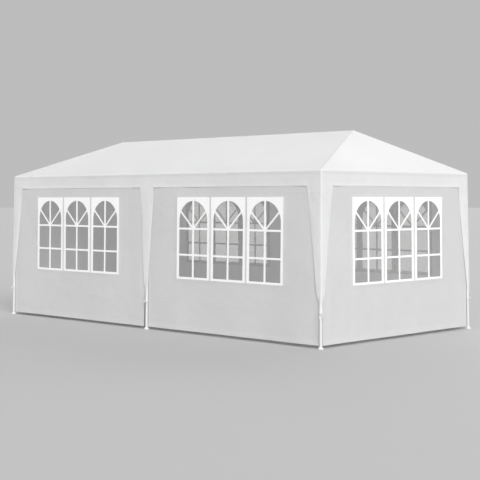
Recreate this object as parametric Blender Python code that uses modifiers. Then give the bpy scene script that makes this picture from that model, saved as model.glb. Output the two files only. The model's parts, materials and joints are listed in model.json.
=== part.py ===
"""Marquee tent, 6 m by 3 m: a steel tube frame under a sewn cover, with hung side walls.

The ground is z = 0 and the origin is under the middle of the tent. X runs along the ridge,
and the front, which is a long side, faces -Y. Every side leans outward by the splay of the
legs, so each side and each roof slope is drawn flat in its own frame: u along the eave,
v up the face and n out of it, with the middle of the eave fold as its origin.
"""
import math

import bpy
import bmesh
from mathutils import Matrix, Vector

# The tent, measured on the outside of the cover, in metres
TENT_LENGTH = 6.0
TENT_WIDTH = 3.0
EAVE_HEIGHT = 2.06
RIDGE_HEIGHT = 2.60
RIDGE_LENGTH = 4.54
LEG_SPLAY = 0.035

# Cover, side walls and window film
CLOTH_THICKNESS = 0.002
FILM_THICKNESS = 0.001
VALANCE_DEPTH = 0.185
CORNER_FLAP_WIDTH = 0.215
CORNER_FLAP_END_HEIGHT = 0.39
MIDDLE_FLAP_WIDTH = 0.264
MIDDLE_FLAP_END_WIDTH = 0.040
MIDDLE_FLAP_END_HEIGHT = 0.36
WALL_GROUND_CLEARANCE = 0.038

# Windows: three units side by side in each window wall
WINDOW_UNITS = 3
WINDOW_UNIT_WIDTH = 0.595
WINDOW_UNIT_SPACING = 0.0275
WINDOW_BOTTOM_HEIGHT = 0.70
WINDOW_TOP_HEIGHT = 1.748
FILM_MARGIN = 0.020

# Zipped doorway in the left end wall
DOOR_WIDTH = 1.20
DOOR_TOP_HEIGHT = 1.78

# Steel frame
TUBE_DIAMETER = 0.036
TUBE_WALL = 0.0012
TUBE_SIDES = 16
COLLAR_LENGTH = 0.045
COLLAR_CLEARANCE = 0.002
SPIGOT_LENGTH = 0.055
HUB_RECESS = 0.0004
ARM_SETBACK = 0.003
FOOT_DIAMETER = 0.075
FOOT_RIM_THICKNESS = 0.004
FOOT_CONE_HEIGHT = 0.028
FOOT_CONE_MARGIN = 0.003

# Space kept between pieces that touch
SEAT_GAP = 0.0003

# Finishes: base colour, roughness, metallic, transmission
FINISHES = {
    "cover_cloth": ((0.86, 0.87, 0.88, 1.0), 0.48, 0.0, 0.0),
    "wall_cloth": ((0.78, 0.79, 0.80, 1.0), 0.50, 0.0, 0.0),
    "window_film": ((0.80, 0.82, 0.84, 1.0), 0.12, 0.0, 0.85),
    "door_cloth": ((0.76, 0.77, 0.78, 1.0), 0.50, 0.0, 0.0),
    "coated_tube": ((0.90, 0.90, 0.90, 1.0), 0.35, 0.1, 0.0),
    "coated_connector": ((0.84, 0.84, 0.85, 1.0), 0.40, 0.1, 0.0),
}

# Lean of the sides and slope of the roof
SPLAY_ANGLE = math.atan2(LEG_SPLAY, EAVE_HEIGHT)
SIDE_PITCH = math.pi / 2 - SPLAY_ANGLE
ROOF_RISE = RIDGE_HEIGHT - EAVE_HEIGHT
LONG_SLOPE_RUN = TENT_WIDTH / 2
END_SLOPE_RUN = (TENT_LENGTH - RIDGE_LENGTH) / 2

# Quarter turns about Z that carry the front side to each side
SIDE_TURNS = {"front": 0, "right": 1, "back": 2, "left": 3}
LONG_SIDES = ("front", "back")

# Depths below the outside of the cover
TUBE_RADIUS = TUBE_DIAMETER / 2
TUBE_DEPTH = CLOTH_THICKNESS + SEAT_GAP + TUBE_RADIUS
FILM_DEPTH = TUBE_DEPTH + (CLOTH_THICKNESS + FILM_THICKNESS) / 2 + SEAT_GAP
SPIGOT_RADIUS = (TUBE_RADIUS - TUBE_WALL) * math.cos(math.pi / TUBE_SIDES) - SEAT_GAP


def clear_scene():
    """Remove what the scene holds, so that only the tent is left."""
    for old in list(bpy.data.objects):
        bpy.data.objects.remove(old, do_unlink=True)


def make_collections():
    """Return the collection of the tent's pieces and the one of the shapes they are joined with."""
    pieces = bpy.data.collections.new("marquee_tent")
    helpers = bpy.data.collections.new("marquee_tent_helpers")
    bpy.context.scene.collection.children.link(pieces)
    bpy.context.scene.collection.children.link(helpers)
    return pieces, helpers


def make_material(name):
    """Return the plain finish of that name."""
    colour, roughness, metallic, transmission = FINISHES[name]
    material = bpy.data.materials.new(name)
    material.use_nodes = True
    shader = material.node_tree.nodes["Principled BSDF"]
    shader.inputs["Base Color"].default_value = colour
    shader.inputs["Roughness"].default_value = roughness
    shader.inputs["Metallic"].default_value = metallic
    shader.inputs["Transmission Weight"].default_value = transmission
    material.diffuse_color = colour
    return material


# Planes and frames of the tent's faces


def half_length(side):
    """Half the length of a side's eave fold."""
    return (TENT_LENGTH if side in LONG_SIDES else TENT_WIDTH) / 2


def face_frame(side, pitch):
    """Frame of a flat face that starts at a side's eave fold and rises at that pitch."""
    reach = (TENT_WIDTH if side in LONG_SIDES else TENT_LENGTH) / 2
    turn = Matrix.Rotation(SIDE_TURNS[side] * math.pi / 2, 4, "Z")
    move = Matrix.Translation((0.0, -reach, EAVE_HEIGHT))
    return turn @ move @ Matrix.Rotation(pitch, 4, "X")


def roof_pitch(side):
    """Slope of the roof over a side."""
    run = LONG_SLOPE_RUN if side in LONG_SIDES else END_SLOPE_RUN
    return math.atan2(ROOF_RISE, run)


def side_frame(side):
    """Frame of the outside of a side."""
    return face_frame(side, SIDE_PITCH)


def roof_frame(side):
    """Frame of the outside of a roof slope."""
    return face_frame(side, roof_pitch(side))


def normal_of(frame):
    """Outward normal of a face."""
    return frame.to_3x3().col[2].copy()


def meeting_point(frames, depth):
    """Point at one depth below three faces."""
    normals = [normal_of(frame) for frame in frames]
    offsets = [normal.dot(frame.translation) - depth for normal, frame in zip(normals, frames)]
    return Matrix(normals).inverted() @ Vector(offsets)


def mitre_inset(first, second):
    """How far two sheets stop short of the fold between their faces, so that they don't overlap."""
    turn = normal_of(first).angle(normal_of(second))
    return CLOTH_THICKNESS * math.tan(turn / 2) + SEAT_GAP / 2


def corner_u(side, depth, v):
    """Place of a side's right corner line at one depth below both sides that meet there."""
    return half_length(side) - depth * math.cos(SPLAY_ANGLE) - v * math.sin(SPLAY_ANGLE)


def corner_edge(side, depth, margin, v):
    """Place of an edge that runs beside a side's right corner line, by a margin square to it."""
    return corner_u(side, depth, v) - margin * math.hypot(1.0, math.sin(SPLAY_ANGLE))


def height_to_v(height, depth):
    """Place along v of a height above the ground, at one depth below a side."""
    drop = EAVE_HEIGHT - height - depth * math.sin(SPLAY_ANGLE)
    return -drop / math.cos(SPLAY_ANGLE)


# Joints of the frame, as points where the tube axes meet


def corner_joint(long_side, end_side):
    """Point where a leg, two eave tubes and a hip rafter meet, under the lower roof slope."""
    sides = [side_frame(long_side), side_frame(end_side)]
    options = [meeting_point(sides + [roof_frame(side)], TUBE_DEPTH) for side in (long_side, end_side)]
    return min(options, key=lambda point: point.z)


def find_joints():
    """Return the points of the frame's joints by name."""
    joints = {}
    for long_side in LONG_SIDES:
        for end_side in ("left", "right"):
            joints[f"{long_side}_{end_side}"] = corner_joint(long_side, end_side)
        ends = joints[f"{long_side}_left"] + joints[f"{long_side}_right"]
        joints[f"{long_side}_middle"] = ends / 2
    slopes = [roof_frame("front"), roof_frame("back")]
    for end_side in ("left", "right"):
        joints[f"ridge_{end_side}"] = meeting_point(slopes + [roof_frame(end_side)], TUBE_DEPTH)
    joints["ridge_middle"] = (joints["ridge_left"] + joints["ridge_right"]) / 2
    return joints


def leg_direction(joint_name):
    """Direction of a leg, down from its joint."""
    long_side, place = joint_name.split("_")
    if place == "middle":
        return -side_frame(long_side).to_3x3().col[1]
    along = normal_of(side_frame(long_side)).cross(normal_of(side_frame(place)))
    return along.normalized() * (-1.0 if along.z > 0 else 1.0)


# The tubes, named, with the joints that each one spans
TUBE_SPANS = {
    "eave_tube_front_left": ("front_left", "front_middle"),
    "eave_tube_front_right": ("front_middle", "front_right"),
    "eave_tube_back_left": ("back_left", "back_middle"),
    "eave_tube_back_right": ("back_middle", "back_right"),
    "eave_tube_left": ("front_left", "back_left"),
    "eave_tube_right": ("front_right", "back_right"),
    "hip_rafter_front_left": ("front_left", "ridge_left"),
    "hip_rafter_front_right": ("front_right", "ridge_right"),
    "hip_rafter_back_left": ("back_left", "ridge_left"),
    "hip_rafter_back_right": ("back_right", "ridge_right"),
    "rafter_front": ("front_middle", "ridge_middle"),
    "rafter_back": ("back_middle", "ridge_middle"),
    "ridge_tube_left": ("ridge_left", "ridge_middle"),
    "ridge_tube_right": ("ridge_middle", "ridge_right"),
}


def arm_directions(joint_name, joints):
    """Directions in which tubes and a leg leave a joint."""
    directions = []
    for start, end in TUBE_SPANS.values():
        if joint_name == start:
            directions.append((joints[end] - joints[start]).normalized())
        if joint_name == end:
            directions.append((joints[start] - joints[end]).normalized())
    if not joint_name.startswith("ridge"):
        directions.append(leg_direction(joint_name))
    return directions


def collar_reach(joint_name, joints):
    """Length of a joint's collars: where the tubes in its two closest arms clear each other."""
    directions = arm_directions(joint_name, joints)
    pairs = [(one, two) for number, one in enumerate(directions) for two in directions[number + 1:]]
    closest = min(one.angle(two) for one, two in pairs)
    return max(COLLAR_LENGTH, (TUBE_RADIUS + COLLAR_CLEARANCE) / math.tan(closest / 2))


# Building of solids


def add_object(name, data, collection, material=None):
    """Return a new object in a collection, with its material."""
    piece = bpy.data.objects.new(name, data)
    collection.objects.link(piece)
    if material:
        data.materials.append(material)
    return piece


def aim(piece, start, direction):
    """Place a piece at a point, with its own Z along a direction."""
    piece.location = start
    piece.rotation_mode = "QUATERNION"
    piece.rotation_quaternion = direction.to_track_quat("Z", "Y")


def hide_helper(piece):
    """Mark a shape that another piece is joined with."""
    piece.hide_render = True
    piece.display_type = "WIRE"


def smooth(mesh):
    """Shade the round faces of a mesh smooth, and keep its sharp edges."""
    mesh.shade_smooth()
    mesh.set_sharp_from_angle(angle=math.radians(35))


def join_with(piece, helper):
    """Join a helper's solid to a piece with a Boolean union."""
    union = piece.modifiers.new("join", "BOOLEAN")
    union.operation = "UNION"
    union.solver = "EXACT"
    union.object = helper
    hide_helper(helper)


def open_tube_mesh(name, length):
    """Mesh of a tube's outer skin, open at both ends, standing on its start."""
    shape = bmesh.new()
    bmesh.ops.create_cone(
        shape, cap_ends=False, segments=TUBE_SIDES, radius1=TUBE_RADIUS, radius2=TUBE_RADIUS,
        depth=length, matrix=Matrix.Translation((0.0, 0.0, length / 2)))
    mesh = bpy.data.meshes.new(name)
    shape.to_mesh(mesh)
    shape.free()
    smooth(mesh)
    return mesh


def make_tube(name, start, end, collection, material):
    """Make a hollow tube between two points."""
    run = end - start
    tube = add_object(name, open_tube_mesh(name, run.length), collection, material)
    wall = tube.modifiers.new("tube_wall", "SOLIDIFY")
    wall.thickness = TUBE_WALL
    wall.offset = -1.0
    aim(tube, start, run.normalized())
    return tube


def turned_mesh(name, profile):
    """Mesh of a profile of (radius, height) points, from the top down its outer side."""
    shape = bmesh.new()
    corners = [shape.verts.new((radius, 0.0, height)) for radius, height in profile]
    for upper, lower in zip(corners, corners[1:]):
        shape.edges.new((upper, lower))
    mesh = bpy.data.meshes.new(name)
    shape.to_mesh(mesh)
    shape.free()
    return mesh


def make_turned_helper(name, profile, collection):
    """Make a solid of revolution about its own Z, for another piece to be joined with."""
    helper = add_object(name, turned_mesh(name, profile), collection)
    turning = helper.modifiers.new("turning", "SCREW")
    turning.steps = TUBE_SIDES
    turning.render_steps = TUBE_SIDES
    turning.use_merge_vertices = True
    turning.merge_threshold = 0.00001
    return helper


def make_leg(joint_name, joints, collections, material):
    """Make a leg: a tube from below its joint to the ground, fused to its round foot."""
    pieces, helpers = collections
    direction = leg_direction(joint_name)
    joint = joints[joint_name]
    top = joint + direction * (collar_reach(joint_name, joints) + SEAT_GAP)
    ground = joint + direction * (joint.z / -direction.z)
    bottom = ground - direction * (FOOT_RIM_THICKNESS / 2)
    leg = make_tube(f"leg_{joint_name}", bottom, top, pieces, material)
    rim = FOOT_DIAMETER / 2
    profile = [
        (0.0, FOOT_CONE_HEIGHT), (TUBE_RADIUS + FOOT_CONE_MARGIN, FOOT_CONE_HEIGHT),
        (rim, FOOT_RIM_THICKNESS), (rim, 0.0), (0.0, 0.0)]
    foot = make_turned_helper(f"foot_{joint_name}", profile, helpers)
    foot.location = (ground.x, ground.y, 0.0)
    join_with(leg, foot)


def arm_profile(reach):
    """Profile of a connector's arm: a collar as wide as the tube, then the spigot inside it.

    It starts a little way out from the hub's middle, so that opposite arms share no face.
    """
    tip = reach + SPIGOT_LENGTH
    return [
        (0.0, tip), (SPIGOT_RADIUS, tip), (SPIGOT_RADIUS, reach), (TUBE_RADIUS, reach),
        (TUBE_RADIUS, ARM_SETBACK), (0.0, ARM_SETBACK)]


def make_connector(name, joint_name, joints, collections, material):
    """Make a connector: a round hub with an arm for each tube that meets it."""
    pieces, helpers = collections
    shape = bmesh.new()
    bmesh.ops.create_uvsphere(
        shape, u_segments=TUBE_SIDES, v_segments=TUBE_SIDES // 2, radius=TUBE_RADIUS - HUB_RECESS)
    mesh = bpy.data.meshes.new(name)
    shape.to_mesh(mesh)
    shape.free()
    smooth(mesh)
    hub = add_object(name, mesh, pieces, material)
    hub.location = joints[joint_name]
    reach = collar_reach(joint_name, joints)
    for number, direction in enumerate(arm_directions(joint_name, joints)):
        arm = make_turned_helper(f"{name}_arm_{number}", arm_profile(reach), helpers)
        aim(arm, joints[joint_name], direction)
        join_with(hub, arm)


def add_outline(curve, points):
    """Add a closed outline to a flat curve."""
    outline = curve.splines.new("POLY")
    outline.points.add(len(points) - 1)
    for corner, (u, v) in zip(outline.points, points):
        corner.co = (u, v, 0.0, 1.0)
    outline.use_cyclic_u = True


def make_sheet(name, outlines, frame, depth, thickness, collection, material):
    """Make a flat sheet in a face's frame: its outline, its cut-outs and the depth of its middle."""
    curve = bpy.data.curves.new(name, "CURVE")
    curve.dimensions = "2D"
    curve.fill_mode = "BOTH"
    curve.extrude = thickness / 2
    for points in outlines:
        add_outline(curve, points)
    sheet = add_object(name, curve, collection, material)
    sheet.matrix_world = frame @ Matrix.Translation((0.0, 0.0, -depth))
    return sheet


def inset_outline(points, insets):
    """Move each edge of a convex outline inward; edge i runs from point i to the next."""
    lines = []
    for number, inset in enumerate(insets):
        start = Vector(points[number])
        along = (Vector(points[(number + 1) % len(points)]) - start).normalized()
        inward = Vector((-along.y, along.x))
        lines.append((inward, inward.dot(start) + inset))
    corners = []
    for (one, first), (two, second) in zip([lines[-1]] + lines[:-1], lines):
        corners.append(tuple(Matrix((one, two)).inverted() @ Vector((first, second))))
    return corners


def rectangle(left, right, bottom, top):
    """Corners of a rectangle."""
    return [(left, bottom), (right, bottom), (right, top), (left, top)]


def mirrored(right_half):
    """Complete an outline whose right half runs from its top to its bottom."""
    return right_half + [(-u, v) for u, v in reversed(right_half)]


# The cover


def make_roof_panel(side, collection, material):
    """Make one slope of the cover, with its edges short of the folds."""
    run = LONG_SLOPE_RUN if side in LONG_SIDES else END_SLOPE_RUN
    slope = math.hypot(run, ROOF_RISE)
    half = half_length(side)
    frame = roof_frame(side)
    eave = mitre_inset(frame, side_frame(side))
    hip = mitre_inset(roof_frame("front"), roof_frame("right"))
    if side in LONG_SIDES:
        top = RIDGE_LENGTH / 2
        ridge = mitre_inset(roof_frame("front"), roof_frame("back"))
        corners = [(-half, 0.0), (half, 0.0), (top, slope), (-top, slope)]
        outline = inset_outline(corners, [eave, hip, ridge, hip])
    else:
        outline = inset_outline([(-half, 0.0), (half, 0.0), (0.0, slope)], [eave, hip, hip])
    make_sheet(f"roof_panel_{side}", [outline], frame, CLOTH_THICKNESS / 2, CLOTH_THICKNESS,
               collection, material)


def make_valance(side, collection, material):
    """Make a side's valance with the tapered flaps that run down its legs."""
    fold = mitre_inset(side_frame("front"), side_frame("right"))
    top = -mitre_inset(roof_frame(side), side_frame(side))
    hem = -VALANCE_DEPTH / math.cos(SPLAY_ANGLE)
    flap_end = height_to_v(CORNER_FLAP_END_HEIGHT, 0.0)
    leg_edge = TUBE_DEPTH + TUBE_RADIUS
    right_half = [
        (corner_edge(side, 0.0, fold, top), top),
        (corner_edge(side, 0.0, fold, flap_end), flap_end),
        (corner_edge(side, 0.0, leg_edge, flap_end), flap_end),
        (corner_edge(side, 0.0, CORNER_FLAP_WIDTH, hem), hem)]
    if side in LONG_SIDES:
        middle_end = height_to_v(MIDDLE_FLAP_END_HEIGHT, 0.0)
        right_half += [(MIDDLE_FLAP_WIDTH / 2, hem), (MIDDLE_FLAP_END_WIDTH / 2, middle_end)]
    make_sheet(f"valance_{side}", [mirrored(right_half)], side_frame(side), CLOTH_THICKNESS / 2,
               CLOTH_THICKNESS, collection, material)


# The side walls


def wall_limits(side, joints):
    """Top and bottom of a side's walls: under the eave tube, and clear of the ground."""
    long_side = side if side in LONG_SIDES else "front"
    end_side = side if side not in LONG_SIDES else "right"
    joint = side_frame(side).inverted() @ joints[f"{long_side}_{end_side}"]
    return joint.y - TUBE_RADIUS - SEAT_GAP, height_to_v(WALL_GROUND_CLEARANCE, TUBE_DEPTH)


def bay_outline(side, bay, top, bottom):
    """Outline of the wall in one bay, between its two legs: bay is left, right or whole."""
    margin = TUBE_RADIUS + SEAT_GAP
    upper = corner_edge(side, TUBE_DEPTH, margin, top)
    lower = corner_edge(side, TUBE_DEPTH, margin, bottom)
    if bay == "whole":
        return [(-lower, bottom), (lower, bottom), (upper, top), (-upper, top)]
    outline = [(margin, bottom), (lower, bottom), (upper, top), (margin, top)]
    return outline if bay == "right" else [(-u, v) for u, v in reversed(outline)]


def window_cuts(centre):
    """Rectangles of the window units in a wall, round the middle of its bay."""
    bottom = height_to_v(WINDOW_BOTTOM_HEIGHT, TUBE_DEPTH)
    top = height_to_v(WINDOW_TOP_HEIGHT, TUBE_DEPTH)
    pitch = WINDOW_UNIT_WIDTH + WINDOW_UNIT_SPACING
    cuts = []
    for number in range(WINDOW_UNITS):
        middle = centre + (number - (WINDOW_UNITS - 1) / 2) * pitch
        left = middle - WINDOW_UNIT_WIDTH / 2
        cuts.append(rectangle(left, left + WINDOW_UNIT_WIDTH, bottom, top))
    return cuts


def make_window_wall(name, side, bay, joints, collection, materials):
    """Make a wall with its window units cut through it, and the film that closes them inside."""
    top, bottom = wall_limits(side, joints)
    centre = {"left": -half_length(side) / 2, "right": half_length(side) / 2, "whole": 0.0}[bay]
    cuts = window_cuts(centre)
    frame = side_frame(side)
    make_sheet(f"wall_{name}", [bay_outline(side, bay, top, bottom)] + cuts, frame, TUBE_DEPTH,
               CLOTH_THICKNESS, collection, materials["wall_cloth"])
    (left, low), (right, high) = cuts[0][0], cuts[-1][2]
    film = rectangle(left - FILM_MARGIN, right + FILM_MARGIN, low - FILM_MARGIN, high + FILM_MARGIN)
    make_sheet(f"window_film_{name}", [film], frame, FILM_DEPTH, FILM_THICKNESS, collection,
               materials["window_film"])


def make_door_wall(name, side, joints, collection, materials):
    """Make the wall round the doorway, and the zipped flap that closes it."""
    top, bottom = wall_limits(side, joints)
    lintel = height_to_v(DOOR_TOP_HEIGHT, TUBE_DEPTH)
    jamb = DOOR_WIDTH / 2
    corners = bay_outline(side, "whole", top, bottom)
    doorway = [(-jamb, bottom), (-jamb, lintel), (jamb, lintel), (jamb, bottom)]
    frame = side_frame(side)
    make_sheet(f"wall_{name}", [corners[:1] + doorway + corners[1:]], frame, TUBE_DEPTH,
               CLOTH_THICKNESS, collection, materials["wall_cloth"])
    flap = rectangle(SEAT_GAP - jamb, jamb - SEAT_GAP, bottom, lintel - SEAT_GAP)
    make_sheet("door_flap", [flap], frame, TUBE_DEPTH, CLOTH_THICKNESS, collection,
               materials["door_cloth"])


def make_frame(joints, collections, materials):
    """Make the legs, tubes and connectors."""
    for name, (start, end) in TUBE_SPANS.items():
        along = (joints[end] - joints[start]).normalized()
        tube_start = joints[start] + along * (collar_reach(start, joints) + SEAT_GAP)
        tube_end = joints[end] - along * (collar_reach(end, joints) + SEAT_GAP)
        make_tube(name, tube_start, tube_end, collections[0], materials["coated_tube"])
    for joint_name in joints:
        kind = "corner_connector"
        if joint_name.startswith("ridge"):
            kind = "connector"
        elif joint_name.endswith("middle"):
            kind = "eave_connector"
        make_connector(f"{kind}_{joint_name}", joint_name, joints, collections,
                       materials["coated_connector"])
        if kind != "connector":
            make_leg(joint_name, joints, collections, materials["coated_tube"])


def main():
    """Build the tent."""
    clear_scene()
    collections = make_collections()
    pieces = collections[0]
    materials = {name: make_material(name) for name in FINISHES}
    joints = find_joints()
    make_frame(joints, collections, materials)
    for side in SIDE_TURNS:
        make_roof_panel(side, pieces, materials["cover_cloth"])
        make_valance(side, pieces, materials["cover_cloth"])
    make_window_wall("front_left", "front", "left", joints, pieces, materials)
    make_window_wall("front_right", "front", "right", joints, pieces, materials)
    make_window_wall("back_left", "back", "right", joints, pieces, materials)
    make_window_wall("back_right", "back", "left", joints, pieces, materials)
    make_window_wall("right", "right", "whole", joints, pieces, materials)
    make_door_wall("left", "left", joints, pieces, materials)


main()
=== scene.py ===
"""Looks of a marquee tent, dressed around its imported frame.

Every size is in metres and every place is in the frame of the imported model: X runs along the
ridge, the front long side faces -Y, and Z is up. A side has its own coordinates: u along its
eave, v up its face, and the depth below the outside of its cloth. A grid's rows run down the
cloth and its columns to the right, seen from outside.
"""

from __future__ import annotations

import json
import logging
import math
from contextlib import contextmanager
from dataclasses import dataclass
from enum import Enum
from typing import Iterable, Iterator, Sequence, Union

import bmesh
import bpy
import numpy as np
from mathutils import Matrix, Vector, noise

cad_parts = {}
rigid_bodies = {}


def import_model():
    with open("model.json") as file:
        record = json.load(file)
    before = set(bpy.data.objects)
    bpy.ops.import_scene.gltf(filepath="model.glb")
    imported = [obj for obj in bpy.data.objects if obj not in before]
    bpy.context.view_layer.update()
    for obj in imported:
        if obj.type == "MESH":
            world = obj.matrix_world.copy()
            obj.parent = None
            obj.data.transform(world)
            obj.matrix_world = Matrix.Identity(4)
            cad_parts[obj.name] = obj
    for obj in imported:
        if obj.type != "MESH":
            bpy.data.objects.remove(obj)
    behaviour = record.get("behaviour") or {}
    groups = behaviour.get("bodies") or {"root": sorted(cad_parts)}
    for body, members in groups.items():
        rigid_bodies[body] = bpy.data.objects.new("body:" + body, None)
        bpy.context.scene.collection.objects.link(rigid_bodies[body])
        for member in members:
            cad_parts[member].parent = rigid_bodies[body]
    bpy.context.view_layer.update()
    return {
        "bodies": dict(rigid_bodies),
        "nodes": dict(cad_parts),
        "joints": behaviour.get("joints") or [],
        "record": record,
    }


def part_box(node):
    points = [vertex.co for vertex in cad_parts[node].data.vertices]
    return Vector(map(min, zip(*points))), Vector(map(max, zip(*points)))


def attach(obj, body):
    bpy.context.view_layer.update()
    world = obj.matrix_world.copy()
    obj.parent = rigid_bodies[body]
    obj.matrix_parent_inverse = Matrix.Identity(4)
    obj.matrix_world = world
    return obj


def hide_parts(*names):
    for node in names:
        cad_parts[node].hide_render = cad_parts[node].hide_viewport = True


LOG = logging.getLogger("marquee_tent")
ROOT_BODY = "root"

# The cloth's flat coordinates, and each point's distance from a hem, by name
CLOTH_MAP = "cloth_metres"
HEM_DISTANCE = "hem_distance"

# The distance from a hem that means none, and that of the stitches from a seam's edge
NO_HEM = 1.0
SEAM_STITCH = 0.010

# Gap between skins that lie on each other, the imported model's own gap, and a hair to compare places by
SKIN_GAP = 0.0001
SEAT_GAP = 0.0003
HAIR = 1e-6

# Angle under which the faces of cloth flow into each other, in degrees
SOFT_BEND = 60.0

Colour = tuple[float, float, float]
Grid = np.ndarray
Material = bpy.types.Material
Mesh = bpy.types.Mesh
Outline = list[tuple[float, float]]
Piece = bpy.types.Object
Socket = bpy.types.NodeSocket
Number = Union[float, Socket]

# Smooth noises to add up, each with its height, its swells in a metre along u and v, and its seed's step
Waves = tuple[tuple[float, float, float, float], ...]

# What carries one such noise to about -1 and 1
NOISE_STRETCH = 1.6


# Sizes and places


class Side(Enum):
    """The sides of the tent, by their quarter turns from the front."""

    FRONT = 0
    RIGHT = 1
    BACK = 2
    LEFT = 3

    @property
    def is_long(self) -> bool:
        """Whether the ridge runs along this side."""
        return self in (Side.FRONT, Side.BACK)

    @property
    def following(self) -> Side:
        """The side beyond this one's right corner."""
        return Side((self.value + 1) % len(Side))

    @property
    def word(self) -> str:
        """The side's name as the nodes spell it."""
        return self.name.lower()

    @property
    def corner_word(self) -> str:
        """The name of the side's right corner as the nodes spell it."""
        sides = (self, self.following) if self.is_long else (self.following, self)
        return "_".join(side.word for side in sides)

    @property
    def turn(self) -> float:
        """Angle about Z that carries the front to this side."""
        return self.value * math.pi / 2

    def points(self, u: Grid, reach: Grid, height: Grid) -> Grid:
        """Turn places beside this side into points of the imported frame.

        Args:
            u: places along the side.
            reach: distances from the middle of the tent.
            height: heights above the ground.

        Returns:
            The points, with a last axis of three.
        """
        x = u * math.cos(self.turn) + reach * math.sin(self.turn)
        y = u * math.sin(self.turn) - reach * math.cos(self.turn)
        return np.stack([x, y, height], axis=-1)


class Bay(Enum):
    """The part of a side between two legs, by where its middle is, as a share of half the side."""

    LEFT = -0.5
    RIGHT = 0.5
    WHOLE = 0.0


class Slot(Enum):
    """The record's material slots."""

    COVER = "cover_cloth"
    WALL = "wall_cloth"
    FILM = "window_film"
    TUBE = "coated_tube"
    CONNECTOR = "coated_connector"


@dataclass(frozen=True)
class TentSizes:
    """Driving sizes of the tent, the same as in the part's source.

    Attributes:
        length, width: between the eave folds of the end sides, and of the long sides.
        eave_height, ridge_height: of the folds along the eaves and the ridge.
        ridge_length: between the points where the hips meet the ridge.
        leg_splay: how far a leg leans out from its eave to the ground.
        tube_radius, tube_depth: of the frame's tubes, and of their axes below the outside of the cloth.
        ground_gap: between the walls and the ground.
        tolerance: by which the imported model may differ.
    """

    length: float = 6.0
    width: float = 3.0
    eave_height: float = 2.06
    ridge_height: float = 2.60
    ridge_length: float = 4.54
    leg_splay: float = 0.035
    tube_radius: float = 0.018
    tube_depth: float = 0.0203
    ground_gap: float = 0.038
    tolerance: float = 0.005

    @property
    def splay(self) -> float:
        """Angle by which the sides lean out from upright."""
        return math.atan2(self.leg_splay, self.eave_height)

    @property
    def rise(self) -> float:
        """Height of the ridge above the eaves."""
        return self.ridge_height - self.eave_height

    def half(self, side: Side) -> float:
        """Half the length of a side's eave."""
        return (self.length if side.is_long else self.width) / 2

    def reach(self, side: Side) -> float:
        """Distance of a side's eave from the middle of the tent."""
        return (self.width if side.is_long else self.length) / 2

    def run(self, side: Side) -> float:
        """Level distance from a side's eave to the ridge."""
        return self.width / 2 if side.is_long else (self.length - self.ridge_length) / 2

    def slope(self, side: Side) -> float:
        """Length of the roof's slope over a side."""
        return math.hypot(self.run(side), self.rise)

    def pitch(self, side: Side) -> float:
        """Angle of the roof's slope over a side."""
        return math.atan2(self.rise, self.run(side))

    def check(self) -> None:
        """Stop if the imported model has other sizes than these."""
        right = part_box("roof_panel_right")[1].x
        front = -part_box("roof_panel_front")[0].y
        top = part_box("roof_panel_front")[1].z
        found = ((right, self.length / 2), (front, self.width / 2), (top, self.ridge_height))
        for packed, expected in found:
            if abs(packed - expected) > self.tolerance:
                raise ValueError(f"the packed model measures {packed:.4f}, and not {expected:.4f}")


@dataclass(frozen=True)
class Face:
    """The outside plane of one side, from its eave down.

    Attributes:
        sizes: of the tent.
        side: that the plane belongs to.
    """

    sizes: TentSizes
    side: Side

    @property
    def matrix(self) -> Matrix:
        """Frame of the face.

        Returns:
            The frame, whose axes are u, v and the outward normal.
        """
        turn = Matrix.Rotation(self.side.turn, 4, "Z")
        move = Matrix.Translation((0.0, -self.sizes.reach(self.side), self.sizes.eave_height))
        return turn @ move @ Matrix.Rotation(math.pi / 2 - self.sizes.splay, 4, "X")

    def corner_u(self, depth: float, v: Grid | float) -> Grid | float:
        """Place of the side's right corner line, at one depth below both sides that meet there."""
        half = self.sizes.half(self.side)
        return half - depth * math.cos(self.sizes.splay) - v * math.sin(self.sizes.splay)

    def height_to_v(self, height: Grid | float, depth: float) -> Grid | float:
        """Place along v of a height above the ground, at one depth below the side."""
        drop = self.sizes.eave_height - height - depth * math.sin(self.sizes.splay)
        return -drop / math.cos(self.sizes.splay)

    def world(self, u: Grid, v: Grid, depth: Grid | float) -> Grid:
        """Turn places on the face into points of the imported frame.

        Args:
            u: places along the eave.
            v: places up the face.
            depth: how far the points lie below the outside of the cloth.

        Returns:
            The points, with a last axis of three.
        """
        matrix = np.array(self.matrix)
        u, v, depth = np.broadcast_arrays(u, v, depth)
        return np.stack([u, v, -depth], axis=-1) @ matrix[:3, :3].T + matrix[:3, 3]


# Small helpers for shapes


def smoothstep(low: float, high: float, value: Grid | float) -> Grid:
    """Rise smoothly from 0 at low to 1 at high."""
    share = np.clip((np.asarray(value, float) - low) / (high - low), 0.0, 1.0)
    return share * share * (3.0 - 2.0 * share)


def soft_swells(u: Grid, v: Grid, waves: Waves, seed: float) -> Grid:
    """Add up smooth noises, each between about -1 and 1.

    Args:
        u: first coordinate.
        v: second coordinate.
        waves: the noises.
        seed: place of the pattern, so that pieces differ.

    Returns:
        The sum at each point.
    """
    total = 0.0
    for height, along_u, along_v, step in waves:
        x, y = np.broadcast_arrays(u * along_u, v * along_v)
        values = [noise.noise(Vector((a, b, seed + step))) for a, b in zip(x.ravel(), y.ravel())]
        total = total + height * NOISE_STRETCH * np.array(values).reshape(x.shape)
    return total


def spaced(marks: Iterable[float], spacing: float) -> Grid:
    """Fill the room between marks with even steps.

    Args:
        marks: places that have to be in the result.
        spacing: the longest step.

    Returns:
        The marks and the steps between them, in order.
    """
    ordered = sorted(marks)
    places = [ordered[0]]
    for start, end in zip(ordered, ordered[1:]):
        steps = max(1, math.ceil((end - start) / spacing - HAIR))
        places += [start + (end - start) * (step + 1) / steps for step in range(steps)]
    return np.array(places)


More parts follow.
